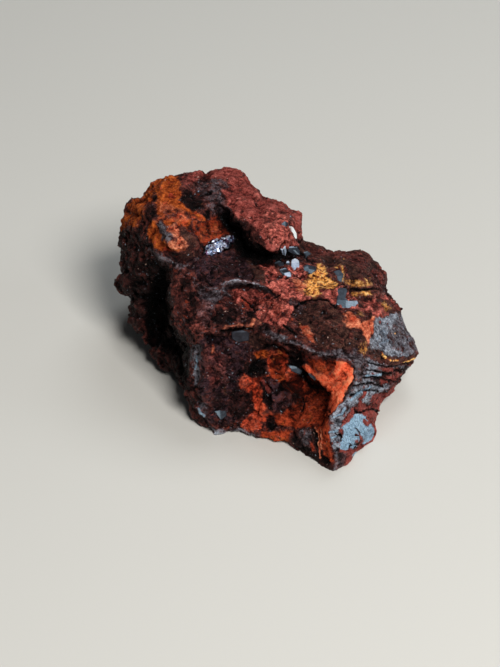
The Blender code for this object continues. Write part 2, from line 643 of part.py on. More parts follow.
def stand_on_origin(objects):
    """Moves everything so that the origin is the middle of the bounding box's bottom."""
    places = np.array([vertex.co for obj in objects for vertex in obj.data.vertices])
    low, high = places.min(axis=0), places.max(axis=0)
    shift = Vector((-(low[0] + high[0]) / 2, -(low[1] + high[1]) / 2, -low[2]))
    for obj in objects:
        obj.data.transform(Matrix.Translation(shift))


def build_stone():
    stone = new_object("limonite_matrix", closed_stone())
    tree = BVHTree.FromObject(stone, bpy.context.evaluated_depsgraph_get())
    remesh(stone, FORM_VOXEL)
    roughen(stone)
    remesh(stone, RELIEF_VOXEL)
    decimate(stone, STONE_TRIANGLES)
    cut_away(stone, block_below(REST_LEVEL))
    return stone, tree


empty_scene()
stone, form = build_stone()
stone.data.materials.clear()
stone.data.materials.append(material("limonite", *LIMONITE))
pyrite = material("pyrite", *PYRITE)
add_plates(stone, form, pyrite)
add_druse(stone, form, pyrite)
stand_on_origin(list(bpy.data.objects))
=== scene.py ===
"""Looks of the pyrite on limonite.

The stone's skin is remade finely from its CAD solid. Each point of it then gets a share of sixteen
kinds of mineral, from outlines drawn on the show face as the camera sees it and from 3-D noise on
the hidden sides; some outlines lay dark or bright kinds as painted shade or painted light. The kinds
set the fine relief of the skin and, in one shader, its colours, which also hold painted shade in
hollows and painted highlights.
Places on the show face are (across, down) in a 500 x 667 drawing made from the camera's place.
"""

import math
import random

import bmesh
import bpy
import numpy as np
from mathutils import Matrix, Vector, kdtree, noise
from mathutils.bvhtree import BVHTree


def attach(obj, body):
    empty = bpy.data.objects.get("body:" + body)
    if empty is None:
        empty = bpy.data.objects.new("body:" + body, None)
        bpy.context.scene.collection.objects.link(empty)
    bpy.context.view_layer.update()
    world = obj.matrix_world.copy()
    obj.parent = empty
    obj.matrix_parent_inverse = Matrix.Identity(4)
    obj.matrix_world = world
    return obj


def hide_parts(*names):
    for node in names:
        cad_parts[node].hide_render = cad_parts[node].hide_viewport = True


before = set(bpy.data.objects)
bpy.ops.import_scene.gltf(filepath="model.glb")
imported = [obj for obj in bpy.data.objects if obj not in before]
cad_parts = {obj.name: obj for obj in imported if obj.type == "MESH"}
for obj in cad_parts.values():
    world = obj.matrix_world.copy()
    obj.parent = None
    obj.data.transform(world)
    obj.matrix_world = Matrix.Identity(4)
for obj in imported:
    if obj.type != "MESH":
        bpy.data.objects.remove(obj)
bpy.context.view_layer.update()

MM = 0.001

# The camera, which is also the eye of the drawing.
EYE = Vector((-1.3, -157.9, 119.55)) * MM
LEAN = math.radians(36.2)
IMAGE_WIDTH, IMAGE_HEIGHT = 500, 667
FOCAL = 2142.0  # in the drawing's units
SENSOR = 24.0  # mm

LIGHT_TARGET = Vector((0, 0, 8)) * MM
FLOOR_REACH = 1.5

SKIN_VOXEL = 0.125 * MM
SHEET_VOXEL = 0.075 * MM
SKIN_PARTS = 3
MERGE_REACH = 1e-6  # corners of a solid that are closer than this are one
BED_REACH = 0.4 * MM  # how far over and under a crystal's face the skin is lowered to it
BED_DEPTH = 0.1 * MM
SKY_RAYS = 16
SKY_REACH = 5.0 * MM
SKY_START = 0.12 * MM
POCKET_GAP = 0.15 * MM  # more than the gap round each crystal
SEEN_DEPTH = 0.9 * MM  # how far behind the first surface a drawn outline still reaches
EDGE_SOFTNESS = 2.4  # of a drawn outline, in the drawing's units
WOBBLE = 2.5  # how far noise shifts a drawn outline, in the same units
LINE_WOBBLE = 0.3  # the share of this for a drawn line
NEAR_ROUNDS, FAR_ROUNDS = 8, 60  # of evening, for what a point stands out from
NEAR_SPAN, FAR_SPAN = 0.12, 0.35  # mm by which a point stands out at the ends of the scale

KINDS = (
    "maroon", "dark", "rust", "umber", "orange", "fire", "peach", "gold", "slate", "steel", "pale", "brick",
    "ember", "blaze", "plum", "salmon",
)

# Each kind's linear colour in its hollows, over most of it and on its crests, its roughness and its
# metallic value. The shader slides along these colours with random noise and with how sunk or open
# each point is, so the darker hollow colours and lighter crest colours are partly painted shade and
# painted light.
LOOKS = {
    "maroon": ((0.018, 0.003, 0.003), (0.19, 0.032, 0.025), (0.50, 0.125, 0.10), 0.7, 0.0),
    # dark is near black, used both for the stone's black parts and as painted shade in its shadows, holes and
    # cracks.
    "dark": ((0.0006, 0.0003, 0.0003), (0.003, 0.0012, 0.0012), (0.03, 0.010, 0.009), 0.4, 0.0),
    "rust": ((0.003, 0.001, 0.001), (0.026, 0.007, 0.0065), (0.17, 0.044, 0.034), 0.45, 0.0),
    "umber": ((0.004, 0.0015, 0.0015), (0.030, 0.012, 0.010), (0.14, 0.056, 0.038), 0.5, 0.0),
    "orange": ((0.030, 0.004, 0.001), (0.27, 0.040, 0.007), (0.72, 0.165, 0.032), 0.8, 0.0),
    "fire": ((0.10, 0.008, 0.003), (0.52, 0.055, 0.020), (0.98, 0.165, 0.070), 0.6, 0.0),
    "peach": ((0.16, 0.022, 0.010), (0.58, 0.115, 0.053), (1.0, 0.39, 0.21), 0.55, 0.0),
    "gold": ((0.10, 0.028, 0.006), (0.95, 0.38, 0.08), (1.0, 0.72, 0.30), 0.5, 0.1),
    "slate": ((0.002, 0.0015, 0.002), (0.040, 0.027, 0.031), (0.19, 0.17, 0.19), 0.4, 0.2),
    "steel": ((0.010, 0.010, 0.014), (0.170, 0.176, 0.21), (0.55, 0.61, 0.70), 0.35, 0.4),
    "pale": ((0.11, 0.19, 0.26), (0.26, 0.41, 0.55), (0.50, 0.70, 0.86), 0.3, 0.4),
    "brick": ((0.03, 0.006, 0.005), (0.19, 0.032, 0.026), (0.45, 0.105, 0.082), 0.5, 0.0),
    "ember": ((0.030, 0.003, 0.001), (0.27, 0.031, 0.010), (0.60, 0.085, 0.028), 0.65, 0.0),
    # blaze is bright orange, partly the orange facet's own colour and partly painted light where the lamps
    # leave the facet dim.
    "blaze": ((0.22, 0.016, 0.006), (1.0, 0.120, 0.045), (1.0, 0.30, 0.14), 0.6, 0.0),
    "plum": ((0.0008, 0.0003, 0.0005), (0.011, 0.0042, 0.0056), (0.075, 0.036, 0.044), 0.35, 0.15),
    "salmon": ((0.018, 0.002, 0.002), (0.26, 0.046, 0.035), (0.90, 0.24, 0.18), 0.45, 0.0),
}

# What is drawn on the show face, painted in this order: name, kind, strength and outline.
ZONES = (
    ("left_flank", "orange", 0.8, ((117, 226), (121, 215), (129, 202), (139, 197), (150, 181), (158, 182),
     (147, 208), (144, 221), (138, 226), (126, 228), (118, 232))),
    # Painted shade: darker low on the left flank, where it turns from the light.
    ("left_flank_low", "dark", 0.5, ((117, 232), (128, 228), (140, 228), (146, 236), (148, 250), (140, 262),
     (126, 262), (117, 250))),
    # Painted shade on the left cliff, which faces away from the light.
    ("cliff", "dark", 0.95, ((128, 262), (150, 262), (170, 268), (171, 320), (188, 342), (190, 365),
     (190, 395), (180, 380), (158, 366), (144, 343), (127, 325), (128, 297), (117, 289), (115, 280))),
    ("cliff_rim", "rust", 0.3, ((115, 280), (122, 270), (135, 264), (150, 268), (148, 282), (140, 292),
     (128, 297), (117, 289))),
    ("cliff_low", "rust", 0.4, ((128, 300), (140, 300), (150, 312), (152, 326), (162, 350), (172, 358),
     (178, 372), (158, 366), (144, 343), (127, 325))),
    # Painted shade in the recess under the lobe.
    ("cliff_hollow", "dark", 1.0, ((150, 283), (169, 272), (170, 322), (180, 340), (186, 362), (170, 352),
     (158, 334), (150, 312), (134, 299))),
    ("knob_ochre", "orange", 1.0, ((156, 182), (167, 174), (176, 176), (181, 180), (180, 190), (183, 200),
     (190, 208), (200, 212), (207, 217), (207, 223), (200, 221), (193, 221), (188, 228), (184, 226),
     (179, 229), (180, 240), (186, 247), (185, 252), (166, 252), (158, 250), (150, 243), (147, 232),
     (149, 223), (158, 219), (155, 210), (158, 200), (154, 190))),
    ("knob_shade", "dark", 0.7, ((143, 212), (150, 206), (157, 210), (158, 219), (150, 221), (144, 218))),
    ("knob_light", "peach", 0.85, ((176, 224), (183, 232), (187, 244), (184, 250), (172, 250), (165, 244),
     (171, 236), (166, 228))),
    ("knob_light_top", "peach", 0.45, ((158, 200), (190, 212), (200, 218), (184, 220), (170, 219),
     (160, 212))),
    ("knob_glow", "blaze", 0.4, ((156, 217), (166, 212), (178, 212), (198, 216), (201, 220), (190, 223),
     (184, 228), (177, 228), (168, 221), (156, 222))),
    ("knob_rib", "blaze", 0.35, ((164, 223), (171, 226), (185, 240), (184, 249), (176, 248), (173, 240),
     (175, 234), (167, 228))),
    ("knob_spot_upper", "slate", 0.9, ((155, 223), (161, 220), (167, 229), (166, 235), (158, 233))),
    ("knob_spot_lower", "slate", 0.9, ((163, 231), (171, 232), (175, 240), (170, 243), (163, 239))),
    ("knob_underside", "slate", 0.6, ((148, 246), (172, 258), (192, 266), (184, 271), (168, 268),
     (156, 262), (150, 255))),
    ("mauve_patch", "umber", 0.9, ((181, 226), (186, 229), (196, 245), (199, 252), (197, 259), (188, 262),
     (181, 258), (180, 252), (188, 251), (187, 243), (181, 236))),
    ("dark_red_hollow", "dark", 0.8, ((181, 189), (190, 190), (204, 203), (205, 209), (198, 211),
     (188, 208), (182, 200))),
    ("lobe_left", "maroon", 0.75, ((180, 180), (190, 171), (200, 170), (205, 175), (200, 181), (190, 186),
     (183, 188))),
    ("maroon_lobe", "maroon", 1.0, ((204, 176), (218, 167), (240, 167), (249, 176), (252, 184), (265, 195),
     (286, 199), (290, 206), (290, 215), (288, 222), (299, 246), (277, 252), (262, 250), (252, 240),
     (243, 225), (228, 205), (224, 195), (214, 190))),
    ("lobe_end", "salmon", 0.6, ((262, 214), (275, 208), (289, 214), (296, 242), (284, 247), (270, 244),
     (262, 232))),
    ("lobe_nub", "maroon", 1.0, ((288, 207), (295, 205), (302, 211), (303, 230), (300, 240), (291, 222))),
    ("grey_band", "slate", 0.65, ((197, 180), (212, 178), (228, 180), (232, 186), (222, 190), (221, 199),
     (230, 207), (233, 214), (241, 220), (244, 232), (236, 236), (228, 228), (222, 216), (212, 214),
     (206, 207), (203, 197), (196, 189))),
    ("lobe_shade", "dark", 0.6, ((242, 220), (252, 222), (259, 230), (263, 240), (269, 250), (258, 252),
     (248, 244), (243, 232))),
    # Painted shadow in the crevice under the overhanging red shoulder.
    ("crevice", "dark", 1.0, ((222, 214), (232, 214), (241, 222), (246, 238), (253, 250), (266, 253),
     (283, 254), (281, 258), (262, 262), (248, 260), (240, 252), (236, 240), (222, 224))),
    ("red_hollow", "rust", 1.0, ((192, 221), (204, 222), (215, 217), (226, 226), (230, 234), (222, 238),
     (212, 240), (205, 247), (194, 234))),
    ("red_hollow_red", "ember", 0.9, ((192, 221), (204, 222), (215, 217), (226, 226), (230, 234),
     (222, 238), (212, 240), (205, 247), (194, 234))),
    ("red_hollow_light", "gold", 0.36, ((194, 223), (204, 224), (214, 220), (224, 228), (227, 234),
     (211, 239), (205, 244), (201, 241), (196, 234))),
    ("druse_bed", "dark", 0.8, ((202, 250), (208, 243), (222, 237), (234, 235), (236, 244), (226, 251),
     (212, 257), (203, 256))),
    ("saddle", "plum", 1.0, ((184, 262), (196, 256), (215, 254), (232, 249), (257, 264), (264, 275),
     (258, 283), (240, 280), (224, 284), (216, 289), (206, 287))),
    ("saddle_dark", "dark", 0.4, ((208, 262), (228, 257), (240, 262), (240, 276), (224, 281), (212, 277))),
    ("saddle_brown", "umber", 1.0, ((243, 257), (256, 260), (266, 264), (276, 271), (281, 278), (274, 284),
     (264, 283), (256, 280))),
    ("saddle_warm", "salmon", 1.0, ((258, 263), (268, 264), (276, 269), (280, 276), (272, 280),
     (264, 274))),
    ("column", "rust", 1.0, ((170, 270), (188, 270), (196, 282), (198, 295), (196, 310), (186, 339),
     (178, 333), (171, 318))),
    ("column_red", "salmon", 0.4, ((172, 272), (180, 276), (180, 292), (186, 310), (178, 322), (172, 306))),
    ("column_pit_upper", "dark", 0.9, ((179, 278), (186, 277), (187, 285), (181, 287))),
    ("column_pit_lower", "dark", 1.0, ((188, 293), (196, 292), (197, 306), (190, 308))),
    ("grey_granules", "slate", 0.85, ((195, 284), (222, 289), (229, 296), (219, 301), (212, 319),
     (205, 327), (197, 320), (195, 310), (202, 300), (197, 292))),
    ("mauve_granules", "salmon", 0.35, ((198, 298), (210, 300), (218, 312), (210, 328), (196, 334),
     (188, 330), (196, 314))),
    ("first_ridge", "slate", 0.85, ((212, 292), (222, 283), (236, 279), (250, 280), (278, 291), (292, 300),
     (290, 305), (262, 292), (246, 287), (232, 287), (222, 294), (216, 300))),
    ("folds", "salmon", 1.0, ((232, 289), (245, 286), (262, 291), (293, 306), (291, 318), (285, 329),
     (271, 326), (247, 312), (236, 303))),
    ("folds_light", "fire", 0.45, ((262, 298), (272, 300), (284, 306), (290, 313), (283, 323), (272, 318),
     (266, 308), (256, 302))),
    ("folds_pink", "brick", 0.6, ((244, 288), (256, 291), (266, 297), (258, 299), (248, 296))),
    ("folds_orange", "fire", 0.6, ((240, 298), (248, 298), (254, 308), (248, 310), (241, 306))),
    ("folds_dark", "rust", 0.85, ((222, 302), (232, 300), (241, 306), (246, 316), (240, 321), (230, 321),
     (222, 312))),
    ("fold_pit_left", "dark", 0.95, ((212, 319), (220, 308), (229, 312), (232, 321), (222, 326),
     (214, 324))),
    ("fold_pit_middle", "dark", 0.95, ((246, 311), (254, 310), (255, 318), (249, 321))),
    ("fold_band", "peach", 0.55, ((216, 329), (226, 323), (249, 322), (256, 319), (262, 323), (256, 329),
     (240, 328), (226, 331))),
    ("fold_pit_right", "dark", 1.0, ((257, 325), (266, 326), (272, 330), (271, 336), (262, 334))),
    ("dome", "umber", 1.0, ((298, 306), (312, 301), (330, 302), (338, 308), (344, 320), (352, 331),
     (366, 335), (368, 345), (350, 350), (330, 351), (315, 347), (305, 336), (299, 322), (291, 312))),
    ("dome_purple", "dark", 0.45, ((308, 306), (324, 306), (334, 316), (334, 330), (326, 342), (314, 336),
     (308, 320))),
    ("second_ridge", "slate", 0.85, ((262, 328), (276, 332), (318, 350), (352, 349), (366, 346), (372, 353),
     (366, 362), (357, 366), (350, 361), (335, 360), (320, 356), (305, 350), (264, 337))),
    ("ridge_pink", "brick", 0.6, ((300, 352), (352, 364), (330, 365), (312, 362), (302, 358))),
    ("ridge_spot", "peach", 0.85, ((301, 325), (307, 325), (314, 335), (317, 345), (303, 333))),
    ("ridge_hole", "dark", 1.0, ((283, 325), (291, 329), (297, 334), (288, 332))),
    ("back_mass", "umber", 0.9, ((298, 243), (305, 240), (325, 248), (357, 250), (370, 255), (380, 265),
     (374, 273), (366, 277), (350, 277), (345, 266), (335, 262), (325, 262), (302, 256))),
    ("back_mass_red", "maroon", 0.5, ((300, 243), (325, 249), (357, 252), (372, 258), (366, 272),
     (350, 272), (335, 260), (312, 256))),
    ("purple_facets", "maroon", 0.45, ((367, 272), (381, 266), (389, 278), (389, 288), (386, 295),
     (371, 284), (366, 277))),
    ("top_ground", "salmon", 0.8, ((280, 270), (300, 262), (330, 262), (345, 266), (352, 278), (374, 282),
     (388, 294), (400, 309), (386, 318), (370, 314), (352, 312), (316, 297), (298, 303), (279, 282))),
    ("top_brown", "umber", 0.6, ((318, 258), (345, 258), (360, 268), (375, 280), (385, 292), (372, 298),
     (350, 292), (335, 285), (322, 275))),
    ("top_salmon", "salmon", 1.0, ((281, 279), (290, 272), (297, 270), (304, 276), (300, 286), (304, 296),
     (297, 301), (290, 296))),
    ("top_purple", "umber", 0.7, ((356, 299), (372, 296), (388, 300), (399, 311), (388, 318), (360, 308))),
    ("gold_main", "gold", 0.95, ((300, 283), (306, 278), (314, 280), (318, 286), (322, 296), (312, 297),
     (305, 293))),
    ("gold_middle", "gold", 0.85, ((306, 272), (318, 272), (340, 283), (332, 289), (320, 288), (312, 282))),
    ("gold_upper", "gold", 0.85, ((317, 263), (323, 265), (329, 273), (325, 277), (318, 277), (315, 272))),
    ("gold_by_slate", "gold", 0.9, ((333, 269), (339, 264), (343, 269), (345, 277), (342, 279),
     (340, 270))),
    ("gold_right", "gold", 0.6, ((342, 279), (370, 278), (372, 286), (354, 288), (346, 285))),
    ("gold_under_slab", "gold", 0.7, ((350, 293), (360, 290), (371, 289), (373, 297), (362, 296),
     (352, 298))),
    ("gold_corner", "gold", 0.65, ((374, 306), (386, 300), (391, 309), (380, 317), (373, 315))),
    ("gold_edge", "gold", 0.85, ((397, 313), (403, 313), (401, 320), (396, 321))),
    ("gold_low", "gold", 0.5, ((352, 311), (362, 312), (366, 320), (357, 319))),
    ("stripe", "peach", 0.9, ((344, 313), (352, 315), (359, 321), (367, 321), (375, 315), (377, 320),
     (375, 337), (371, 341), (366, 336), (362, 329), (350, 329), (345, 326), (349, 321))),
    ("contact", "peach", 0.85, ((368, 336), (374, 336), (375, 342), (370, 352), (362, 357), (361, 351),
     (366, 345))),
    ("steel_upper", "steel", 1.0, ((376, 316), (401, 313), (422, 346), (423, 354), (416, 358), (385, 357),
     (367, 350), (374, 334))),
    ("steel_violet", "slate", 0.55, ((391, 322), (405, 316), (411, 329), (421, 346), (421, 352), (406, 352),
     (393, 350), (387, 340))),
    ("steel_blue", "pale", 0.35, ((380, 330), (389, 327), (391, 340), (384, 348), (376, 346), (375, 337))),
    ("speckled_band", "umber", 0.75, ((368, 345), (380, 350), (389, 356), (402, 356), (420, 351),
     (422, 355), (416, 361), (407, 364), (389, 366), (364, 357))),
    ("slate_face", "slate", 0.9, ((351, 362), (364, 357), (369, 365), (360, 381), (353, 382), (354, 372))),
    ("ledges", "steel", 0.8, ((364, 357), (389, 366), (412, 364), (402, 378), (376, 388), (372, 393),
     (366, 391), (356, 396), (340, 409), (337, 406), (354, 382), (360, 380), (368, 366))),
    ("ledges_dark", "dark", 0.8, ((383, 371), (409, 365), (405, 373), (398, 379), (376, 385), (371, 381))),
    ("ledge_red_upper", "brick", 0.7, ((379, 367), (388, 367), (400, 370), (397, 374), (386, 373),
     (379, 370))),
    ("ledge_red_lower", "brick", 0.75, ((380, 379), (403, 373), (401, 378), (380, 384))),
    ("ledges_low", "steel", 1.0, ((352, 393), (366, 388), (376, 387), (386, 384), (391, 386), (386, 392),
     (378, 396), (372, 403), (366, 405), (360, 401), (352, 405), (344, 411), (337, 413), (342, 404))),
    ("ledges_low_dark", "dark", 0.6, ((345, 390), (354, 384), (360, 384), (338, 409), (336, 406))),
    ("rim_brick", "brick", 1.0, ((375, 394), (390, 386), (397, 384), (399, 388), (391, 397), (379, 407),
     (369, 403), (372, 397))),
    ("rim_dark", "dark", 0.8, ((381, 389), (390, 386), (388, 392), (381, 394))),
    ("prow", "steel", 1.0, ((337, 406), (347, 400), (357, 404), (353, 410), (346, 416), (339, 430),
     (342, 436), (341, 444), (338, 450), (341, 460), (341, 470), (335, 475), (331, 460), (328, 430),
     (331, 418))),
    ("prow_dark_upper", "dark", 0.75, ((340, 409), (349, 404), (352, 408), (345, 414), (338, 418))),
    ("prow_dark_middle", "dark", 0.5, ((330, 421), (338, 418), (340, 424), (333, 428))),
    ("brick_left", "brick", 1.0, ((343, 424), (345, 417), (350, 412), (352, 407), (358, 407), (358, 412),
     (354, 414), (353, 419), (342, 431), (339, 431))),
    ("brick_right", "brick", 1.0, ((359, 404), (367, 407), (377, 405), (382, 411), (380, 418), (379, 432),
     (375, 440), (366, 424), (360, 410))),
    ("brick_low", "brick", 1.0, ((339, 448), (352, 450), (368, 442), (374, 434), (379, 430), (377, 441),
     (360, 455), (350, 469), (343, 473), (338, 473), (342, 462))),
    ("prow_low", "slate", 0.35, ((329, 450), (339, 448), (345, 456), (344, 466), (336, 473))),
    ("brick_low_grey", "slate", 0.5, ((338, 452), (347, 452), (348, 460), (344, 468), (339, 472))),
    ("pale_spot", "pale", 0.95, ((351, 456), (355, 452), (360, 452), (357, 457), (353, 459))),
    # Partly the facet's own bright orange and partly painted light, as the facet faces away from the lamps.
    ("orange_facet", "blaze", 1.0, ((304, 366), (335, 361), (345, 363), (354, 367), (355, 380), (348, 388),
     (341, 400), (334, 409), (328, 421), (329, 404), (328, 389), (318, 380), (309, 374))),
    ("orange_facet_light", "peach", 0.3, ((312, 368), (330, 366), (350, 370), (348, 384), (336, 394),
     (316, 376))),
    # Partly the hollow's own red-orange and partly painted shade in the recess.
    ("hollow", "ember", 1.0, ((268, 400), (276, 413), (290, 410), (295, 400), (304, 392), (325, 390),
     (329, 398), (328, 420), (318, 425), (286, 430), (274, 424), (264, 412))),
    ("hollow_shade", "orange", 0.3, ((294, 396), (306, 390), (326, 390), (326, 402), (310, 424), (296, 426),
     (292, 410))),
    # Partly the slot's own bright orange and gold and partly painted light, laid over a slot that lies in
    # shade.
    ("slot_orange", "fire", 1.0, ((268, 346), (281, 344), (288, 352), (287, 364), (279, 370), (270, 369),
     (266, 358))),
    ("slot_glow", "gold", 0.35, ((270, 349), (280, 347), (285, 354), (278, 364), (270, 361))),
    ("slot_left", "orange", 1.0, ((254, 351), (268, 349), (271, 357), (262, 362), (254, 357))),
    # Painted shade under the overhanging ridge.
    ("under_ridge", "dark", 0.75, ((262, 334), (278, 342), (303, 357), (304, 364), (296, 368), (284, 352),
     (268, 349), (254, 350), (252, 342))),
    ("left_orange", "fire", 0.7, ((235, 384), (242, 373), (250, 377), (262, 376), (263, 384), (254, 387),
     (250, 392), (238, 388))),
    ("strip_orange", "fire", 0.95, ((253, 386), (261, 386), (264, 400), (270, 409), (258, 413),
     (252, 400))),
    ("upper_strip", "ember", 1.0, ((269, 367), (281, 366), (290, 370), (312, 386), (323, 392), (304, 395),
     (290, 392), (282, 385), (272, 379))),
    ("low_left_orange", "fire", 0.7, ((239, 425), (250, 413), (262, 408), (271, 414), (269, 420),
     (262, 428), (252, 433), (243, 431))),
    ("low_left_light", "peach", 0.25, ((244, 424), (254, 414), (262, 412), (260, 424), (250, 429))),
    ("low_middle", "ember", 1.0, ((260, 431), (274, 428), (293, 430), (290, 443), (272, 444), (261, 438))),
    ("low_seam", "rust", 0.9, ((262, 424), (274, 427), (292, 428), (292, 432), (262, 430))),
    ("knot", "rust", 0.9, ((266, 417), (274, 416), (276, 423), (268, 424))),
    ("square_block", "dark", 0.95, ((244, 361), (251, 358), (263, 358), (268, 366), (265, 374), (255, 376),
     (246, 373))),
    ("island", "plum", 0.95, ((265, 381), (272, 378), (288, 390), (292, 398), (288, 406), (274, 414),
     (269, 408), (263, 388))),
    ("island_purple", "salmon", 0.2, ((272, 392), (286, 390), (292, 396), (284, 408), (274, 410))),
    ("island_seam", "dark", 0.95, ((261, 385), (268, 392), (274, 414), (268, 412), (262, 398))),
    # Painted shade in a deep hole.
    ("black_hole", "dark", 1.0, ((290, 357), (300, 358), (303, 366), (298, 369), (290, 364))),
    ("shard_bed", "slate", 0.9, ((288, 366), (298, 369), (313, 384), (308, 387), (290, 372))),
    ("shard_shadow", "dark", 0.85, ((303, 370), (323, 388), (316, 391), (306, 384))),
    # Painted shade on the underside of the front foot.
    ("foot_base", "dark", 0.8, ((290, 440), (298, 430), (312, 427), (319, 430), (322, 450), (334, 466),
     (335, 473), (300, 454))),
    ("foot_grey", "slate", 0.9, ((299, 431), (310, 428), (314, 440), (310, 449), (302, 445))),
    ("foot_orange", "fire", 0.6, ((309, 440), (314, 442), (317, 453), (312, 451))),
    ("foot_strip", "ember", 1.0, ((317, 426), (330, 419), (331, 440), (334, 455), (333, 464), (324, 457),
     (319, 444))),
    ("dark_face", "plum", 1.0, ((199, 340), (215, 334), (250, 342), (256, 350), (245, 360), (244, 374),
     (236, 382), (240, 394), (250, 400), (246, 412), (238, 421), (225, 426), (205, 426), (197, 412),
     (200, 365))),
    ("dark_face_mauve", "salmon", 0.33, ((204, 345), (225, 349), (229, 370), (226, 388), (210, 389),
     (203, 370))),
    ("dark_face_pink", "peach", 0.6, ((209, 344), (214, 345), (214, 353), (210, 353))),
    ("dark_face_grey", "slate", 0.4, ((199, 394), (215, 391), (223, 400), (215, 412), (202, 416))),
    ("dark_face_beige", "gold", 0.35, ((222, 383), (228, 387), (228, 398), (222, 398))),
    ("nodule", "dark", 0.65, ((230, 391), (238, 388), (248, 392), (251, 402), (246, 414), (238, 422),
     (230, 416), (227, 404))),
    ("grey_edge", "steel", 0.6, ((189, 347), (200, 344), (203, 355), (200, 388), (194, 387), (192, 370),
     (189, 358))),
    ("grey_edge_low", "steel", 0.5, ((195, 399), (206, 402), (210, 413), (202, 418), (196, 410))),
    ("base_grey", "steel", 0.7, ((207, 427), (225, 429), (245, 429), (262, 437), (240, 434), (228, 435),
     (218, 439))),
    ("brow", "umber", 0.9, ((232, 330), (252, 331), (262, 336), (268, 346), (254, 349), (248, 343),
     (234, 343))),
    ("saddle_low", "salmon", 0.9, ((268, 276), (279, 276), (288, 284), (293, 293), (287, 301), (278, 298),
     (264, 283))),
    ("saddle_glow", "peach", 0.7, ((292, 279), (302, 278), (308, 286), (304, 295), (295, 291))),
    ("dome_grey", "slate", 0.6, ((292, 302), (300, 299), (307, 306), (300, 314), (293, 311))),
    ("dome_red", "peach", 0.4, ((293, 323), (301, 322), (307, 330), (311, 342), (305, 345), (298, 336))),
    ("crust_light", "peach", 0.55, ((341, 314), (349, 312), (356, 317), (357, 326), (350, 328),
     (343, 322))),
    ("crust_flecks", "gold", 0.6, ((360, 343), (366, 340), (368, 349), (364, 358), (359, 352))),
    ("top_warm", "salmon", 0.8, ((363, 300), (374, 299), (385, 306), (388, 315), (378, 318), (366, 313))),
    ("facet_start", "ember", 0.85, ((305, 359), (320, 359), (331, 362), (334, 369), (329, 377),
     (308, 366))),
    ("hollow_edge", "ember", 0.6, ((303, 372), (311, 374), (320, 383), (318, 388), (309, 382))),
    # Partly the slab's own orange and partly painted light, laid over where it lies in shade.
    ("slot_slab", "fire", 0.7, ((281, 364), (291, 367), (301, 376), (309, 386), (303, 391), (292, 389),
     (284, 378))),
    ("prow_foot", "dark", 0.4, ((331, 452), (339, 450), (343, 458), (342, 468), (335, 471))),
)

# The same for the pale sheet of pyrite, on brick.
SHEET_ZONES = (
    ("pale_patch", "pale", 1.0, ((352, 418), (355, 412), (361, 412), (364, 415), (368, 412), (369, 416),
     (373, 418), (370, 421), (365, 419), (364, 423), (368, 425.5), (372, 424), (374, 431), (375, 436),
     (370, 442), (365, 446), (358, 445), (355, 447), (350, 450), (346, 452), (339, 449), (340, 442),
     (343, 434), (341, 427), (347, 422), (350, 422))),
    ("sheet_steel", "steel", 0.4, ((366, 426), (372, 427), (374, 434), (369, 440), (360, 445), (356, 443),
     (364, 437))),
    ("sheet_curl", "brick", 1.0, ((357, 433), (360, 434), (364, 439), (362, 444), (357, 444), (354, 440),
     (358, 441), (361, 439))),
    ("sheet_notch", "brick", 0.9, ((365, 418), (369, 420), (375, 418), (373, 422), (369, 423), (367, 426),
     (364, 423))),
)
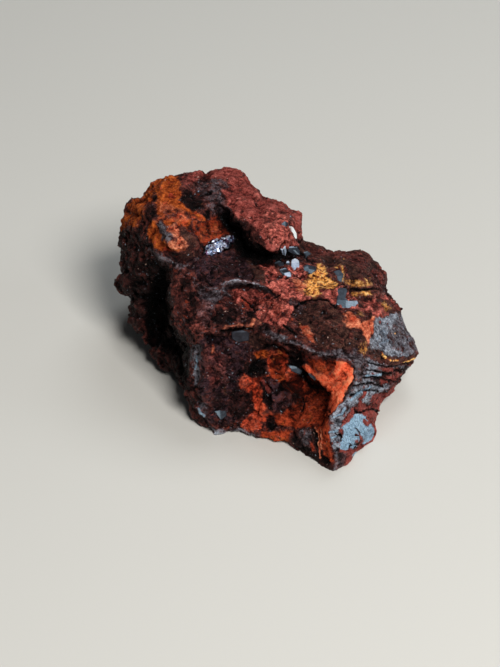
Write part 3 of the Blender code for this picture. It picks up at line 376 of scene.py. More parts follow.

# Thin things drawn on the show face: name, kind, width in the drawing's units, how far it is sunk into the
# skin or raised from it (below zero) in mm, and its line. The dark lines are cracks and steps, sunk and
# painted dark as painted shade in them; the pale lines are painted highlights.
LINES = (
    ("dome_crack", "dark", 1.5, 0.3, ((296, 308), (300, 303), (307, 300), (318, 298), (328, 299.5),
     (335, 304))),
    ("slab_crack", "dark", 1.6, 0.3, ((352, 288.5), (360, 290), (371, 288.5), (381, 290))),
    ("gold_crack", "dark", 1.2, 0.15, ((341, 281), (346, 287))),
    ("brow_crack", "dark", 1.5, 0.25, ((221, 331), (232, 331.5), (243, 330), (252, 329))),
    ("ridge_crack", "dark", 1.6, 0.3, ((283, 325), (290, 330), (297, 334))),
    ("fold_line_lower", "dark", 1.1, 0.2, ((240, 296), (249, 303), (254, 309), (262, 310))),
    ("saddle_line_left", "dark", 1.1, 0.12, ((212, 264), (217, 267), (219, 272))),
    ("saddle_line_middle", "dark", 1.4, 0.15, ((200, 272), (205, 276), (207, 282), (212, 286))),
    ("saddle_line_right", "dark", 1.1, 0.12, ((251, 270), (254, 275), (253, 281))),
    ("hollow_fold", "dark", 0.9, 0.12, ((303, 397), (305, 404), (302, 411))),
    # Painted shade under the ledges.
    ("ledge_one", "dark", 1.2, 0.12, ((364, 361), (374, 364), (386, 367), (398, 366), (408, 363))),
    ("ledge_two", "dark", 1.2, 0.15, ((366, 370), (376, 371), (388, 374), (400, 371))),
    ("ledge_three", "dark", 1.3, 0.15, ((362, 378), (374, 377), (384, 379), (394, 381))),
    ("ledge_four", "dark", 1.2, 0.15, ((354, 387), (362, 384), (372, 384), (382, 386))),
    ("ledge_five", "dark", 1.3, 0.18, ((350, 396), (360, 391), (370, 390), (378, 391))),
    ("ledge_six", "brick", 2.0, 0.1, ((365, 389), (364.5, 396), (359.5, 399), (361.5, 404.5), (366, 406),
     (373, 407))),
    ("rim_crack", "dark", 1.4, 0.15, ((355, 408), (358, 412), (363, 411.5), (367, 410), (373, 409),
     (379, 413))),
    ("gold_thread", "gold", 1.4, 0.0, ((382, 352), (386, 358), (391, 361), (398, 360))),
    ("gold_thread_low", "gold", 1.2, 0.0, ((400, 365), (408, 362), (416, 358))),
    # Painted highlights on the ledges and the prow.
    ("pale_stroke_top", "pale", 2.2, -0.04, ((351, 400), (356, 395), (363, 391), (370, 387))),
    ("pale_stroke_ledge", "pale", 2.0, -0.04, ((366, 375), (372, 376), (381, 374))),
    ("pale_stroke_prow", "pale", 2.2, -0.04, ((334, 417), (341, 414), (345, 408))),
    ("pale_stroke_left", "pale", 2.2, -0.04, ((330, 432), (338, 430))),
    ("pale_stroke_low", "pale", 1.8, -0.03, ((331, 438), (337, 436))),
    ("prow_crack", "dark", 1.2, 0.08, ((335, 433), (340, 436), (342, 441))),
    ("sheet_crack", "dark", 1.0, 0.06, ((355, 428), (358, 431), (360, 434))),
    ("sheet_crack_low", "dark", 0.9, 0.05, ((349, 451), (350.5, 446), (349, 443))),
    ("sheet_crack_right", "dark", 0.8, 0.04, ((353, 448), (355, 444), (359, 445))),
    ("facet_prow", "dark", 1.0, 0.08, ((354, 366), (355, 380), (348, 388))),
    ("ridge_wire", "steel", 1.3, 0.0, ((221, 285), (226, 282), (234, 280), (244, 280.5), (256, 284),
     (264, 286.5))),
    ("ridge_wire_low", "slate", 1.4, 0.0, ((300, 343), (310, 350), (322, 353), (338, 353), (352, 350))),
    ("knob_rim", "slate", 2.2, -0.06, ((150, 248), (160, 256), (172, 262), (186, 266), (198, 258))),
    # Painted highlights.
    ("grey_spark", "pale", 1.6, -0.05, ((197, 356), (196.5, 364), (195, 370))),
    ("grey_spark_low", "pale", 2.2, -0.05, ((199, 408), (201, 413), (204, 416))),
    ("thread_left", "peach", 1.2, -0.06, ((315, 427), (318, 434), (319, 446), (320, 458))),
    ("thread_right", "peach", 1.2, -0.06, ((320, 429), (322, 438), (321, 450))),
    # A painted highlight on the facet's lip.
    ("facet_glint", "pale", 1.6, -0.03, ((309, 374), (312, 377), (315, 380))),
    ("rhomb", "brick", 3.0, -0.1, ((263, 381), (266, 386), (269, 392))),
)

# Single bright or dark specks: kind, across, down, radius in the drawing's units. The pale specks are
# painted highlights.
SPECKS = (
    ("pale", 199, 191, 2.0), ("pale", 197, 182, 1.5), ("gold", 202, 204, 2.0), ("pale", 290, 217, 1.6),
    ("pale", 301, 303, 1.5), ("pale", 279, 301, 1.3), ("peach", 302, 333, 1.6), ("pale", 213, 340, 1.6),
    ("pale", 202, 337, 1.5), ("pale", 202, 342, 1.3), ("pale", 249, 326, 1.5), ("pale", 236, 343, 2.0),
    ("pale", 212, 306, 1.3), ("pale", 250, 257, 1.0), ("pale", 178, 313, 2.0), ("peach", 197, 257, 1.5),
    ("pale", 298, 221, 1.3), ("gold", 396, 333, 2.0), ("gold", 344, 260, 1.8), ("gold", 364, 352, 1.8),
    ("peach", 156, 201, 1.6), ("dark", 172, 215, 1.5), ("gold", 300, 323, 1.0), ("peach", 335, 326, 1.4),
    ("peach", 346, 338, 1.2), ("slate", 287, 208, 2.0), ("peach", 304, 365, 2.4), ("pale", 195, 361, 1.2),
)

# Patches on the hidden sides: kind, size in mm, the noise level above which they show, and the noise's shift.
HIDDEN_PATCHES = (
    ("umber", 5.0, -0.1, 11.0),
    ("maroon", 6.0, 0.12, 23.0),
    ("dark", 3.5, 0.25, 37.0),
    ("orange", 4.5, 0.38, 41.0),
    ("fire", 3.0, 0.5, 53.0),
    ("slate", 4.0, 0.42, 67.0),
    ("steel", 3.2, 0.6, 71.0),
    ("gold", 2.2, 0.72, 83.0),
)
CARRY_START, CARRY_END = 0.4, 3.2  # mm over which the drawing's kinds give way to the hidden ones

# What is scattered in each kind: host, guest, patch size in mm, the noise level above which it shows, its
# strength and the noise's shift.
GUESTS = (
    ("rust", "dark", 0.4, 0.2, 0.9, 97.0),
    ("rust", "slate", 0.4, 0.3, 0.7, 98.0),
    ("rust", "ember", 0.4, 0.35, 0.6, 99.0),
    ("rust", "salmon", 1.1, 0.4, 0.35, 101.0),
    ("rust", "slate", 0.9, 0.3, 0.4, 102.0),
    ("rust", "dark", 0.9, 0.1, 0.6, 103.0),
    ("rust", "fire", 0.6, 0.55, 0.5, 107.0),
    ("maroon", "dark", 0.8, 0.35, 0.4, 109.0),
    ("maroon", "dark", 0.35, 0.45, 0.6, 110.0),
    ("maroon", "salmon", 0.8, 0.15, 0.5, 113.0),
    ("umber", "dark", 0.9, 0.15, 0.5, 127.0),
    ("umber", "dark", 0.35, 0.3, 0.7, 128.0),
    ("umber", "salmon", 0.6, 0.3, 0.4, 131.0),
    ("orange", "rust", 0.8, 0.35, 0.45, 137.0),
    ("orange", "fire", 0.8, 0.2, 0.6, 139.0),
    ("fire", "orange", 0.8, 0.25, 0.6, 149.0),
    ("fire", "rust", 0.5, 0.45, 0.45, 151.0),
    ("ember", "orange", 0.8, 0.2, 0.6, 152.0),
    ("ember", "dark", 0.5, 0.4, 0.4, 153.0),
    ("salmon", "rust", 0.5, 0.05, 0.6, 154.0),
    ("plum", "ember", 0.35, 0.4, 0.4, 158.0),
    ("plum", "dark", 0.4, 0.1, 0.6, 157.5),
    ("plum", "slate", 0.4, 0.3, 0.5, 159.0),
    ("plum", "pale", 0.22, 0.6, 0.5, 160.0),
    ("plum", "slate", 0.7, 0.25, 0.45, 155.0),
    ("plum", "salmon", 0.5, 0.5, 0.4, 156.0),
    ("peach", "fire", 0.5, 0.1, 0.7, 157.0),
    ("gold", "rust", 0.5, 0.3, 0.6, 162.0),
    ("gold", "ember", 0.3, 0.05, 0.7, 163.0),
    ("gold", "dark", 0.35, 0.35, 0.6, 164.0),
    ("slate", "dark", 0.8, 0.2, 0.6, 167.0),
    ("slate", "dark", 0.35, 0.25, 0.8, 168.0),
    ("slate", "steel", 0.5, 0.4, 0.6, 173.0),
    ("slate", "ember", 0.4, 0.4, 0.5, 174.0),
    ("slate", "pale", 0.25, 0.55, 0.5, 176.0),
    ("salmon", "plum", 0.4, 0.3, 0.6, 177.0),
    ("steel", "dark", 0.5, 0.3, 0.7, 179.0),
    ("steel", "brick", 0.6, 0.5, 0.8, 181.0),
    ("brick", "dark", 0.6, 0.4, 0.6, 191.0),
)

# Relief of each kind in mm: lumps, ridges, large and small chips, folds and ledges.
RELIEF = {
    "maroon": (0.22, 0.05, 0.12, 0.03, 0.02, 0.0), "dark": (0.14, 0.12, 0.28, 0.14, 0.0, 0.0),
    "rust": (0.16, 0.12, 0.24, 0.10, 0.0, 0.0), "umber": (0.14, 0.06, 0.12, 0.05, 0.02, 0.0),
    "orange": (0.18, 0.07, 0.12, 0.03, 0.03, 0.0), "fire": (0.14, 0.04, 0.14, 0.02, 0.05, 0.0),
    "peach": (0.12, 0.05, 0.12, 0.03, 0.06, 0.0), "gold": (0.10, 0.10, 0.12, 0.12, 0.0, 0.0),
    "slate": (0.08, 0.05, 0.12, 0.05, 0.04, 0.0), "steel": (0.03, 0.03, 0.10, 0.06, 0.0, 0.12),
    "pale": (0.02, 0.01, 0.04, 0.02, 0.0, 0.03), "brick": (0.06, 0.05, 0.12, 0.04, 0.01, 0.0),
    "ember": (0.14, 0.04, 0.14, 0.02, 0.06, 0.0), "blaze": (0.12, 0.04, 0.14, 0.02, 0.04, 0.0),
    "plum": (0.12, 0.07, 0.16, 0.08, 0.02, 0.0), "salmon": (0.12, 0.05, 0.12, 0.03, 0.08, 0.0),
}
FOLD_SPACING = 0.75  # mm
FOLD_DIRECTION = np.array((-0.35, 0.45, 0.8))
LEDGE_SPACING = 0.6
LEDGE_DIRECTION = np.array((0.25, 0.75, 0.6))
TILT_SPREAD = 12.9898  # large, so that each chip's tilt differs from the next one's

SHADE_PLACES = (0.12, 0.5, 0.95)  # of a kind's three colours on the scale from its hollows to its crests

# The kinds that get painted highlights (sparkle), and the painted sparkles' and glints' colours and
# roughness.
SPARKLING = ("dark", "umber", "slate", "plum")
SPARKLE = (0.30, 0.35, 0.41)
GLINT = (0.85, 0.55, 0.45)
GLINT_ROUGHNESS = 0.15
GRAIN_TURN = (0.0, math.radians(32), math.radians(-8))

# The druse of small cubes.
DRUSE_OUTLINE = (
    (205, 250), (208, 246), (214, 242), (222, 239), (229, 236), (233, 237), (232, 242), (226, 247),
    (218, 252), (210, 254.5), (205, 254),
)
DRUSE_MARGIN = 0.3  # between a cube's middle and the outline, in the drawing's units
DRUSE_LIFT = 0.1  # how far a cube's middle stands out, as a share of its size
DRUSE_CUBES = 150
DRUSE_CUBE = (0.16, 0.34)  # mm across

# Brightness of each plate's faces, and of the parts of them that are drawn apart: partly the faces' own
# tone and partly painted reflection of the light they mirror.
PLATES = {
    "plate_pentagon": (0.86, (("face", 0.8, ((291, 264), (300, 262), (300, 270), (291, 270))),)),
    "plate_small": (0.85, (("edge", 0.3, ((285, 263), (290, 263), (290, 266), (285, 266))),)),
    "plate_white": (0.85, (("seam", 0.2, ((283, 250), (284, 249), (285, 257), (284, 257))),)),
    "plate_upper": (0.25, (("lip", 0.8, ((288, 245), (298, 245), (297, 247.6), (289, 248))),
                           ("streak", 0.65, ((293, 250), (295, 250), (300, 255), (298, 255))))),
    "plate_left": (0.22, (("lip", 0.45, ((274, 263), (280, 260), (284, 262), (280, 262))),)),
    "plate_lower": (0.35, (("upper", 0.7, ((279, 268), (287, 265), (287, 268), (280, 270))),
                           ("lower", 0.8, ((284, 273), (290, 272), (292, 277), (285, 276))),
                           ("seam", 0.05, ((281, 271), (288, 269), (290, 271), (284, 273))))),
    "plate_right": (0.35, (("lip", 0.6, ((303, 252), (308, 250.5), (307, 252), (304, 253))),)),
    "plate_teal": (0.2, (("left", 0.45, ((303, 268), (308, 265.5), (309, 270), (305, 272))),
                         ("right", 0.15, ((309, 265), (316, 266), (315, 270), (310, 270))),
                         ("streak", 0.5, ((309, 269), (315, 270), (312, 274), (308, 272))))),
    "plate_slate": (0.3, (("low", 0.4, ((336, 277), (343, 275), (342, 282), (338, 282))),)),
    "plate_bent": (0.3, (("foot", 0.45, ((336, 300), (348, 300), (346, 309), (338, 307))),
                         ("toe", 0.68, ((346, 301), (359, 299.5), (359, 304), (352, 309), (346, 309))))),
    "plate_square": (0.04, (("lip", 0.25, ((231, 332), (242, 330), (250, 332), (242, 332.5))),)),
    "plate_foot": (0.3, (("left", 0.55, ((214, 411), (220, 410.5), (221, 420), (217, 416))),)),
    "plate_shoulder": (0.5, (("right", 0.2, ((285.5, 221), (289, 222), (289, 227), (285.5, 226))),)),
    "blade": (1.0, ()),
    "shard": (0.35, (("lip", 0.65, ((289, 366), (297, 366), (297, 368.5), (289, 369))),)),
}
PLATE_GRID = 0.12 * MM
PLATE_ROUNDS = 5
PLATE_SOFTNESS = 0.35  # of a drawn part's outline, in the drawing's units
# The faces' colour at each brightness, own tone and painted reflection together.
PLATE_COLOURS = (
    (0.0, (0.006, 0.005, 0.008)), (0.25, (0.030, 0.034, 0.045)), (0.45, (0.085, 0.115, 0.145)),
    (0.65, (0.24, 0.31, 0.37)), (0.82, (0.47, 0.56, 0.72)), (1.0, (0.95, 1.0, 1.0)),
)


def sight_ray(across, down):
    """The direction in which the eye sees this place of the drawing."""
    side = (across - IMAGE_WIDTH / 2) / FOCAL
    rise = (IMAGE_HEIGHT / 2 - down) / FOCAL
    ahead = math.cos(LEAN) + rise * math.sin(LEAN)
    up = rise * math.cos(LEAN) - math.sin(LEAN)
    return Vector((side, ahead, up)).normalized()


def drawn_places(points):
    """Where these points fall in the drawing."""
    away = points - np.array(EYE)
    depth = away[:, 1] * math.cos(LEAN) - away[:, 2] * math.sin(LEAN)
    rise = away[:, 1] * math.sin(LEAN) + away[:, 2] * math.cos(LEAN)
    across = IMAGE_WIDTH / 2 + FOCAL * away[:, 0] / depth
    down = IMAGE_HEIGHT / 2 - FOCAL * rise / depth
    return np.stack([across, down], axis=1)


def smoothstep(values, low, high):
    """From 0 at the low value to 1 at the high one."""
    t = np.clip((values - low) / (high - low), 0, 1)
    return t * t * (3 - 2 * t)


def noise_at(points, size, octaves, shift):
    """Fractal noise at each point, from about -1 to 1."""
    scaled = points / (size * MM) + shift
    return np.array([noise.fractal(point, 0.85, 2.15, octaves) for point in scaled])


def ridges_at(points, size, octaves, shift):
    """Noise with sharp crests at each point, from about -1 to 1."""
    scaled = points / (size * MM) + shift
    crests = np.array([noise.ridged_multi_fractal(point, 0.9, 2.1, octaves, 1.0, 2.0) for point in scaled])
    return crests / 1.3 - 1


def chips_at(points, size, shift):
    """Flat chips, each tilted its own way, with steps where they meet: from about -0.5 to 0.5."""
    bend = np.stack([noise_at(points, size * 0.5, 2, shift + step) for step in (0.0, 31.0, 57.0)], axis=1)
    scaled = points / (size * MM) + shift + 0.12 * bend
    centres = np.array([noise.voronoi(point)[1][0] for point in scaled])
    tilts = np.sin(centres * TILT_SPREAD + np.array((0.0, 2.1, 4.2)))
    return ((scaled - centres) * tilts).sum(axis=1)


def segment_distances(places, start, end):
    """How far each place is from a straight line between two others."""
    along = np.subtract(end, start)
    t = np.clip((places - start) @ along / (along @ along), 0, 1)
    return np.linalg.norm(places - (start + t[:, None] * along), axis=1)


def inside_distances(places, outline):
    """How far inside the outline each place is, below zero outside it."""
    corners = np.array(outline, float)
    nearest = np.full(len(places), 1e9)
    within = np.zeros(len(places), bool)
    for start, end in zip(corners, np.roll(corners, -1, axis=0)):
        nearest = np.minimum(nearest, segment_distances(places, start, end))
        crosses = (start[1] > places[:, 1]) != (end[1] > places[:, 1])
        slope = (end[0] - start[0]) / (end[1] - start[1]) if end[1] != start[1] else 0
        within ^= crosses & (places[:, 0] < start[0] + (places[:, 1] - start[1]) * slope)
    return np.where(within, nearest, -nearest)


def add_object(name, data):
    """A new object in the scene."""
    obj = bpy.data.objects.new(name, data)
    bpy.context.scene.collection.objects.link(obj)
    return obj


def mesh_of(bm, name):
    """The finished mesh of what was being built."""
    mesh = bpy.data.meshes.new(name)
    bm.to_mesh(mesh)
    bm.free()
    return mesh


def tree_of(obj):
    """The object's faces, for rays."""
    return BVHTree.FromObject(obj, bpy.context.evaluated_depsgraph_get())


class Skin:
    """A finely remade surface, with its points and their normals."""

    def __init__(self, node, name, voxel, smoothing, filled=()):
        self.obj = fine_copy(node, name, voxel, smoothing, filled)
        mesh = self.obj.data
        self.points = np.empty(len(mesh.vertices) * 3)
        mesh.vertices.foreach_get("co", self.points)
        self.points = self.points.reshape(-1, 3)
        self.normals = np.array([vertex.normal for vertex in mesh.vertices])
        self.places = drawn_places(self.points)
        self.tree = tree_of(self.obj)
        self.seen = self.find_seen()

    def find_seen(self):
        """True for the points that the eye sees, or nearly."""
        seen = np.zeros(len(self.points), bool)
        for index, point in enumerate(self.points):
            ray = Vector(point) - EYE
            hit = self.tree.ray_cast(EYE, ray)[3]
            seen[index] = hit is None or hit > ray.length - SEEN_DEPTH
        return seen

    def push(self, amounts):
        """Moves each point this far out along its normal, but none below the flat underside."""
        self.points = self.points + self.normals * amounts[:, None]
        self.points[:, 2] = np.maximum(self.points[:, 2], 0)
        self.update()

    def update(self):
        """Moves the mesh to the points."""
        self.obj.data.vertices.foreach_set("co", self.points.ravel())
        self.obj.data.update()


def fine_copy(node, name, voxel, smoothing, filled):
    """A copy of a CAD solid with an even mesh, its facets rounded and the pockets of these nodes filled."""
    bm = bmesh.new()
    for other in filled:
        bm.from_mesh(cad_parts[other].data)
    bmesh.ops.remove_doubles(bm, verts=bm.verts, dist=MERGE_REACH)
    bm.normal_update()
    for vert in bm.verts:
        vert.co += vert.normal * POCKET_GAP
    bm.from_mesh(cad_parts[node].data)
    bmesh.ops.remove_doubles(bm, verts=bm.verts, dist=MERGE_REACH)
    obj = add_object(name, mesh_of(bm, name))
    remesh = obj.modifiers.new("remesh", "REMESH")
    remesh.mode = "VOXEL"
    remesh.voxel_size = voxel
    smooth = obj.modifiers.new("smooth", "SMOOTH")
    smooth.factor = 0.5
    smooth.iterations = smoothing
    depsgraph = bpy.context.evaluated_depsgraph_get()
    fine = bpy.data.meshes.new_from_object(obj.evaluated_get(depsgraph))
    obj.modifiers.clear()
    obj.data = fine
    fine.materials.clear()
    return obj


def drawn_shares(points, places, zones, ground):
    """Each point's share of each kind, from what is drawn on the show face."""
    shares = np.zeros((len(points), len(KINDS)))
    shares[:, KINDS.index(ground)] = 1
    wobble = WOBBLE * np.stack([noise_at(points, 0.8, 4, shift) for shift in (3.1, 7.7)], axis=1)
    for _, kind, strength, outline in zones:
        inside = inside_distances(places + wobble, outline)
        paint(shares, kind, strength * smoothstep(inside, -EDGE_SOFTNESS, EDGE_SOFTNESS))
    for _, kind, width, _, line in LINES:
        strength = 0.65 if kind in ("slate", "steel", "pale") else 1.0
        paint(shares, kind, strength * line_amounts(places + LINE_WOBBLE * wobble, line, width))
    for kind, across, down, radius in SPECKS:
        away = np.linalg.norm(places - (across, down), axis=1)
        paint(shares, kind, 0.8 * (1 - smoothstep(away, radius * 0.15, radius * 0.65)))
    return shares


def line_amounts(places, line, width):
    """From 1 on a drawn line to 0 beside it."""
    distances = np.full(len(places), 1e9)
    for start, end in zip(line, line[1:]):
        distances = np.minimum(distances, segment_distances(places, np.array(start), np.array(end)))
    return 1 - smoothstep(distances, width * 0.35, width * 0.85)


def paint(shares, kind, amounts):
    """Lays this much of a kind over what is there."""
    shares *= 1 - amounts[:, None]
    shares[:, KINDS.index(kind)] += amounts


def hidden_shares(points):
    """Shares of the kinds for what the drawing doesn't show, from 3-D noise."""
    shares = np.zeros((len(points), len(KINDS)))
    shares[:, KINDS.index("rust")] = 1
    for kind, size, threshold, shift in HIDDEN_PATCHES:
        field = noise_at(points, size, 4, shift)
        paint(shares, kind, 0.95 * smoothstep(field, threshold, threshold + 0.18))
    return shares


def all_shares(skin):
    """The drawn shares where the drawing shows the skin, carried a little way round its edges."""
    seen, unseen = np.flatnonzero(skin.seen), np.flatnonzero(~skin.seen)
    shares = np.zeros((len(skin.points), len(KINDS)))
    shares[seen] = drawn_shares(skin.points[seen], skin.places[seen], ZONES, "rust")
    shares[unseen] = hidden_shares(skin.points[unseen])
    tree = kdtree.KDTree(len(seen))
    for index in seen:
        tree.insert(skin.points[index], int(index))
    tree.balance()
    ragged = 0.8 * noise_at(skin.points[unseen], 1.6, 3, 5.0)
    for index, lag in zip(unseen, ragged):
        _, nearest, away = tree.find(skin.points[index])
        carried = 1 - min(1, max(0, (away / MM + lag - CARRY_START) / (CARRY_END - CARRY_START)))
        shares[index] = shares[nearest] * carried + shares[index] * (1 - carried)
    for host, guest, size, threshold, strength, shift in GUESTS:
        patches = smoothstep(noise_at(skin.points, size, 4, shift), threshold, threshold + 0.2)
        paint(shares, guest, strength * patches * shares[:, KINDS.index(host)])
    return shares


def relief(skin, shares):
    """How far each point stands out of the smooth skin, in metres."""
    depths = shares @ np.array([RELIEF[kind] for kind in KINDS])
    points = skin.points
    lumps = noise_at(points, 1.5, 3, 31.0)
    ridges = ridges_at(points, 0.9, 4, 43.0)
    large_chips = chips_at(points, 1.5, 12.0)
    small_chips = chips_at(points, 0.55, 27.0)
    bend = noise_at(points, 1.6, 3, 19.0)
    across_folds = points @ FOLD_DIRECTION / (FOLD_SPACING * MM)
    folds = np.sin(2 * math.pi * (across_folds + 1.1 * bend))
    climb = points @ LEDGE_DIRECTION / (LEDGE_SPACING * MM) + 1.3 * bend
    ledges = (climb - np.floor(climb)) - 0.5
    fields = np.stack([lumps, ridges, large_chips, small_chips, folds, ledges], axis=1)
    amounts = (depths * fields).sum(axis=1)
    for _, _, width, sunk, line in LINES:
        amounts -= sunk * line_amounts(skin.places, line, width * 1.2) * skin.seen
    return amounts * MM


def store_shares(obj, shares):
    """Keeps the shares as colour attributes of four kinds each."""
    for number in range(len(KINDS) // 4):
        layer = obj.data.color_attributes.new(f"kinds_{number}", "FLOAT_COLOR", "POINT")
        layer.data.foreach_set("color", shares[:, number * 4:number * 4 + 4].ravel())


class Shader:
    """Short names for making shader nodes."""

    def __init__(self, name):
        self.material = bpy.data.materials.new(name)
        self.material.use_nodes = True
        self.tree = self.material.node_tree
        self.surface = self.tree.nodes["Principled BSDF"]

    def node(self, kind, **settings):
        made = self.tree.nodes.new(kind)
        for key, value in settings.items():
            setattr(made, key, value)
        return made

    def put(self, value, socket):
        if isinstance(value, bpy.types.NodeSocket):
            self.tree.links.new(value, socket)
        elif isinstance(value, tuple) and len(value) == 3 and socket.type == "RGBA":
            socket.default_value = (*value, 1)
        else:
            socket.default_value = value

    def attribute(self, name):
        return self.node("ShaderNodeAttribute", attribute_name=name).outputs

    def channels(self, colour):
        """A colour's three parts."""
        made = self.node("ShaderNodeSeparateColor")
        self.put(colour, made.inputs[0])
        return made.outputs[:3]

    def maths(self, operation, first, second=0.0, third=0.0):
        made = self.node("ShaderNodeMath", operation=operation)
        for value, socket in zip((first, second, third), made.inputs):
            self.put(value, socket)
        return made.outputs[0]

    def weigh(self, value, middle, weight, base):
        """The base, raised where the value is over its middle and lowered where it is under it."""
        return self.maths("MULTIPLY_ADD", self.maths("SUBTRACT", value, middle), weight, base)

    def mix(self, factor, first, second, blend="MIX"):
        made = self.node("ShaderNodeMix", data_type="RGBA", blend_type=blend)
        first_colour, second_colour = [socket for socket in made.inputs if socket.type == "RGBA"]
        self.put(factor, made.inputs["Factor"])
        self.put(first, first_colour)
        self.put(second, second_colour)
        return next(socket for socket in made.outputs if socket.type == "RGBA")

    def ramp(self, value, low, high, start=0.0, end=1.0):
        made = self.node("ShaderNodeMapRange", interpolation_type="SMOOTHSTEP")
        for number, item in enumerate((value, low, high, start, end)):
            self.put(item, made.inputs[number])
        return made.outputs[0]

    def colours(self, value, stops):
        """A colour ramp with these places and colours."""
        made = self.node("ShaderNodeValToRGB")
        elements = made.color_ramp.elements
        while len(elements) < len(stops):
            elements.new(0.5)
        for element, (place, colour) in zip(elements, stops):
            element.position = place
            element.color = (*colour, 1)
        self.put(value, made.inputs["Fac"])
        return made.outputs["Color"]

    def shades(self, tone, look):
        """A kind's colours from its hollows to its crests."""
        return self.colours(tone, tuple(zip(SHADE_PLACES, look)))

    def position(self):
        return self.node("ShaderNodeTexCoord").outputs["Object"]

    def noise_on(self, vector, size_mm, detail, rough, warp):
        made = self.node("ShaderNodeTexNoise")
        self.put(vector, made.inputs["Vector"])
        self.put(1 / (size_mm * MM), made.inputs["Scale"])
        self.put(detail, made.inputs["Detail"])
        self.put(rough, made.inputs["Roughness"])
        self.put(warp, made.inputs["Distortion"])
        return made.outputs["Fac"]

    def noise(self, size_mm, detail=4.0, rough=0.55, warp=0.0, offset=0.0):
        shifted = self.node("ShaderNodeVectorMath", operation="ADD")
        self.put(self.position(), shifted.inputs[0])
        shifted.inputs[1].default_value = (offset, offset * 0.7, offset * 1.3)
        return self.noise_on(shifted.outputs[0], size_mm, detail, rough, warp)

    def streaks(self, size_mm, stretch, detail, rough, warp):
        """Noise drawn out along the stone's grain."""
        turned = self.node("ShaderNodeMapping", vector_type="TEXTURE")
        turned.inputs["Rotation"].default_value = GRAIN_TURN
        turned.inputs["Scale"].default_value = (stretch, 1, 1)
        self.put(self.position(), turned.inputs["Vector"])
        return self.noise_on(turned.outputs[0], size_mm, detail, rough, warp)

    def cells(self, size_mm):
        """A colour of its own for each cell."""
        made = self.node("ShaderNodeTexVoronoi")
        self.put(self.position(), made.inputs["Vector"])
        self.put(1 / (size_mm * MM), made.inputs["Scale"])
        return made.outputs["Color"]

    def sparkles(self, size_mm, threshold, offset):
        """The highest crests of a fine noise, in loose clusters, as a mask for painted highlights."""
        fine = self.noise(size_mm, 2, 0.6, 0.8, offset)
        cluster = self.noise(0.9, 3, 0.6, 0.5, offset + 0.05)
        return self.ramp(self.weigh(cluster, 0.5, 0.35, fine), threshold, threshold + 0.05)

    def bump(self, height, distance_mm, strength):
        made = self.node("ShaderNodeBump")
        made.inputs["Distance"].default_value = distance_mm * MM
        made.inputs["Strength"].default_value = strength
        self.put(height, made.inputs["Height"])
        self.put(made.outputs[0], self.surface.inputs["Normal"])


def stone_material():
    """All sixteen kinds in one shader, each broken up by noise where it meets the next."""
    s = Shader("limonite_and_pyrite")
    shares = []
    for number in range(len(KINDS) // 4):
        layer = s.attribute(f"kinds_{number}")
        shares += [*s.channels(layer["Color"]), layer["Alpha"]]
    near, far, sky = s.channels(s.attribute("form")["Color"])
    open_sky = s.ramp(sky, 0.25, 0.9)
    breakup = s.noise(0.5, 9, 0.72, 0.6)
    wavy = s.noise(0.9, 9, 0.7, 1.8, offset=0.004)
    grain = s.noise(0.14, 4, 0.75, offset=0.009)
    drawn_out = s.streaks(0.32, 3.0, 6, 0.7, 1.2)
    # The tone is random noise plus painted light and shade: raised on crests and where a point sees much sky,
    # lowered in hollows.
    tone = 0.45
    for value, weight in ((wavy, 1.1), (drawn_out, 1.5), (grain, 1.5), (near, 0.4), (far, 0.35)):
        tone = s.weigh(value, 0.5, weight, tone)
    tone = s.weigh(open_sky, 0.8, 0.35, tone)
    # Painted highlights: small pale flecks laid into the colour on the sparkling kinds and everywhere as
    # glints.
    sparkle = s.sparkles(0.22, 0.70, 0.021)
    glint = s.sparkles(0.24, 0.74, 0.031)
    rough, metal = LOOKS["rust"][3:]
    colour = s.mix(sparkle, s.shades(tone, LOOKS["rust"]), SPARKLE)
    for kind, share in zip(KINDS, shares):
        if kind == "rust":
            continue
        mask = s.ramp(s.weigh(breakup, 0.5, 1.1, share), 0.2, 0.8)
        kind_rough, kind_metal = LOOKS[kind][3:]
        shade = s.shades(tone, LOOKS[kind])
        # Painted highlights on the sparkling kinds.
        if kind in SPARKLING:
            shade = s.mix(sparkle, shade, SPARKLE)
        colour = s.mix(mask, colour, shade)
        rough = s.ramp(mask, 0, 1, rough, kind_rough)
        metal = s.ramp(mask, 0, 1, metal, kind_metal)
    # Painted highlights: the glints.
    colour = s.mix(glint, colour, GLINT)
    # Painted shade: the colour is darkened where a point sees little sky and in creases.
    painted_crease_shade = s.ramp(near, 0.02, 0.4, 0.45, 1.0)
    shade = s.maths("MULTIPLY", s.maths("MULTIPLY_ADD", open_sky, 0.65, 0.35), painted_crease_shade)
    painted_shade = s.node("ShaderNodeCombineColor")
    for socket in painted_shade.inputs[:3]:
        s.put(shade, socket)
    s.put(s.mix(1.0, colour, painted_shade.outputs[0], "MULTIPLY"), s.surface.inputs["Base Color"])
    rough = s.weigh(s.noise(0.2, 4, 0.7, offset=0.013), 0.5, 1.0, rough)
    s.put(s.ramp(glint, 0, 1, rough, GLINT_ROUGHNESS), s.surface.inputs["Roughness"])
    s.put(metal, s.surface.inputs["Metallic"])
    s.surface.inputs["Specular IOR Level"].default_value = 0.08
    height = s.maths("ADD", s.maths("MULTIPLY", wavy, 0.4), s.maths("MULTIPLY", grain, 0.4))
    height = s.maths("MULTIPLY_ADD", drawn_out, 0.5, height)
    s.bump(height, 0.5, 0.9)
    return s.material


def evened(values, edges, count, rounds):
    """The values after each point has taken its neighbours' mean this many times."""
    for _ in range(rounds):
        total = np.zeros_like(values)
        np.add.at(total, edges[:, 0], values[edges[:, 1]])
        np.add.at(total, edges[:, 1], values[edges[:, 0]])
        values = total / count[:, None]
    return values


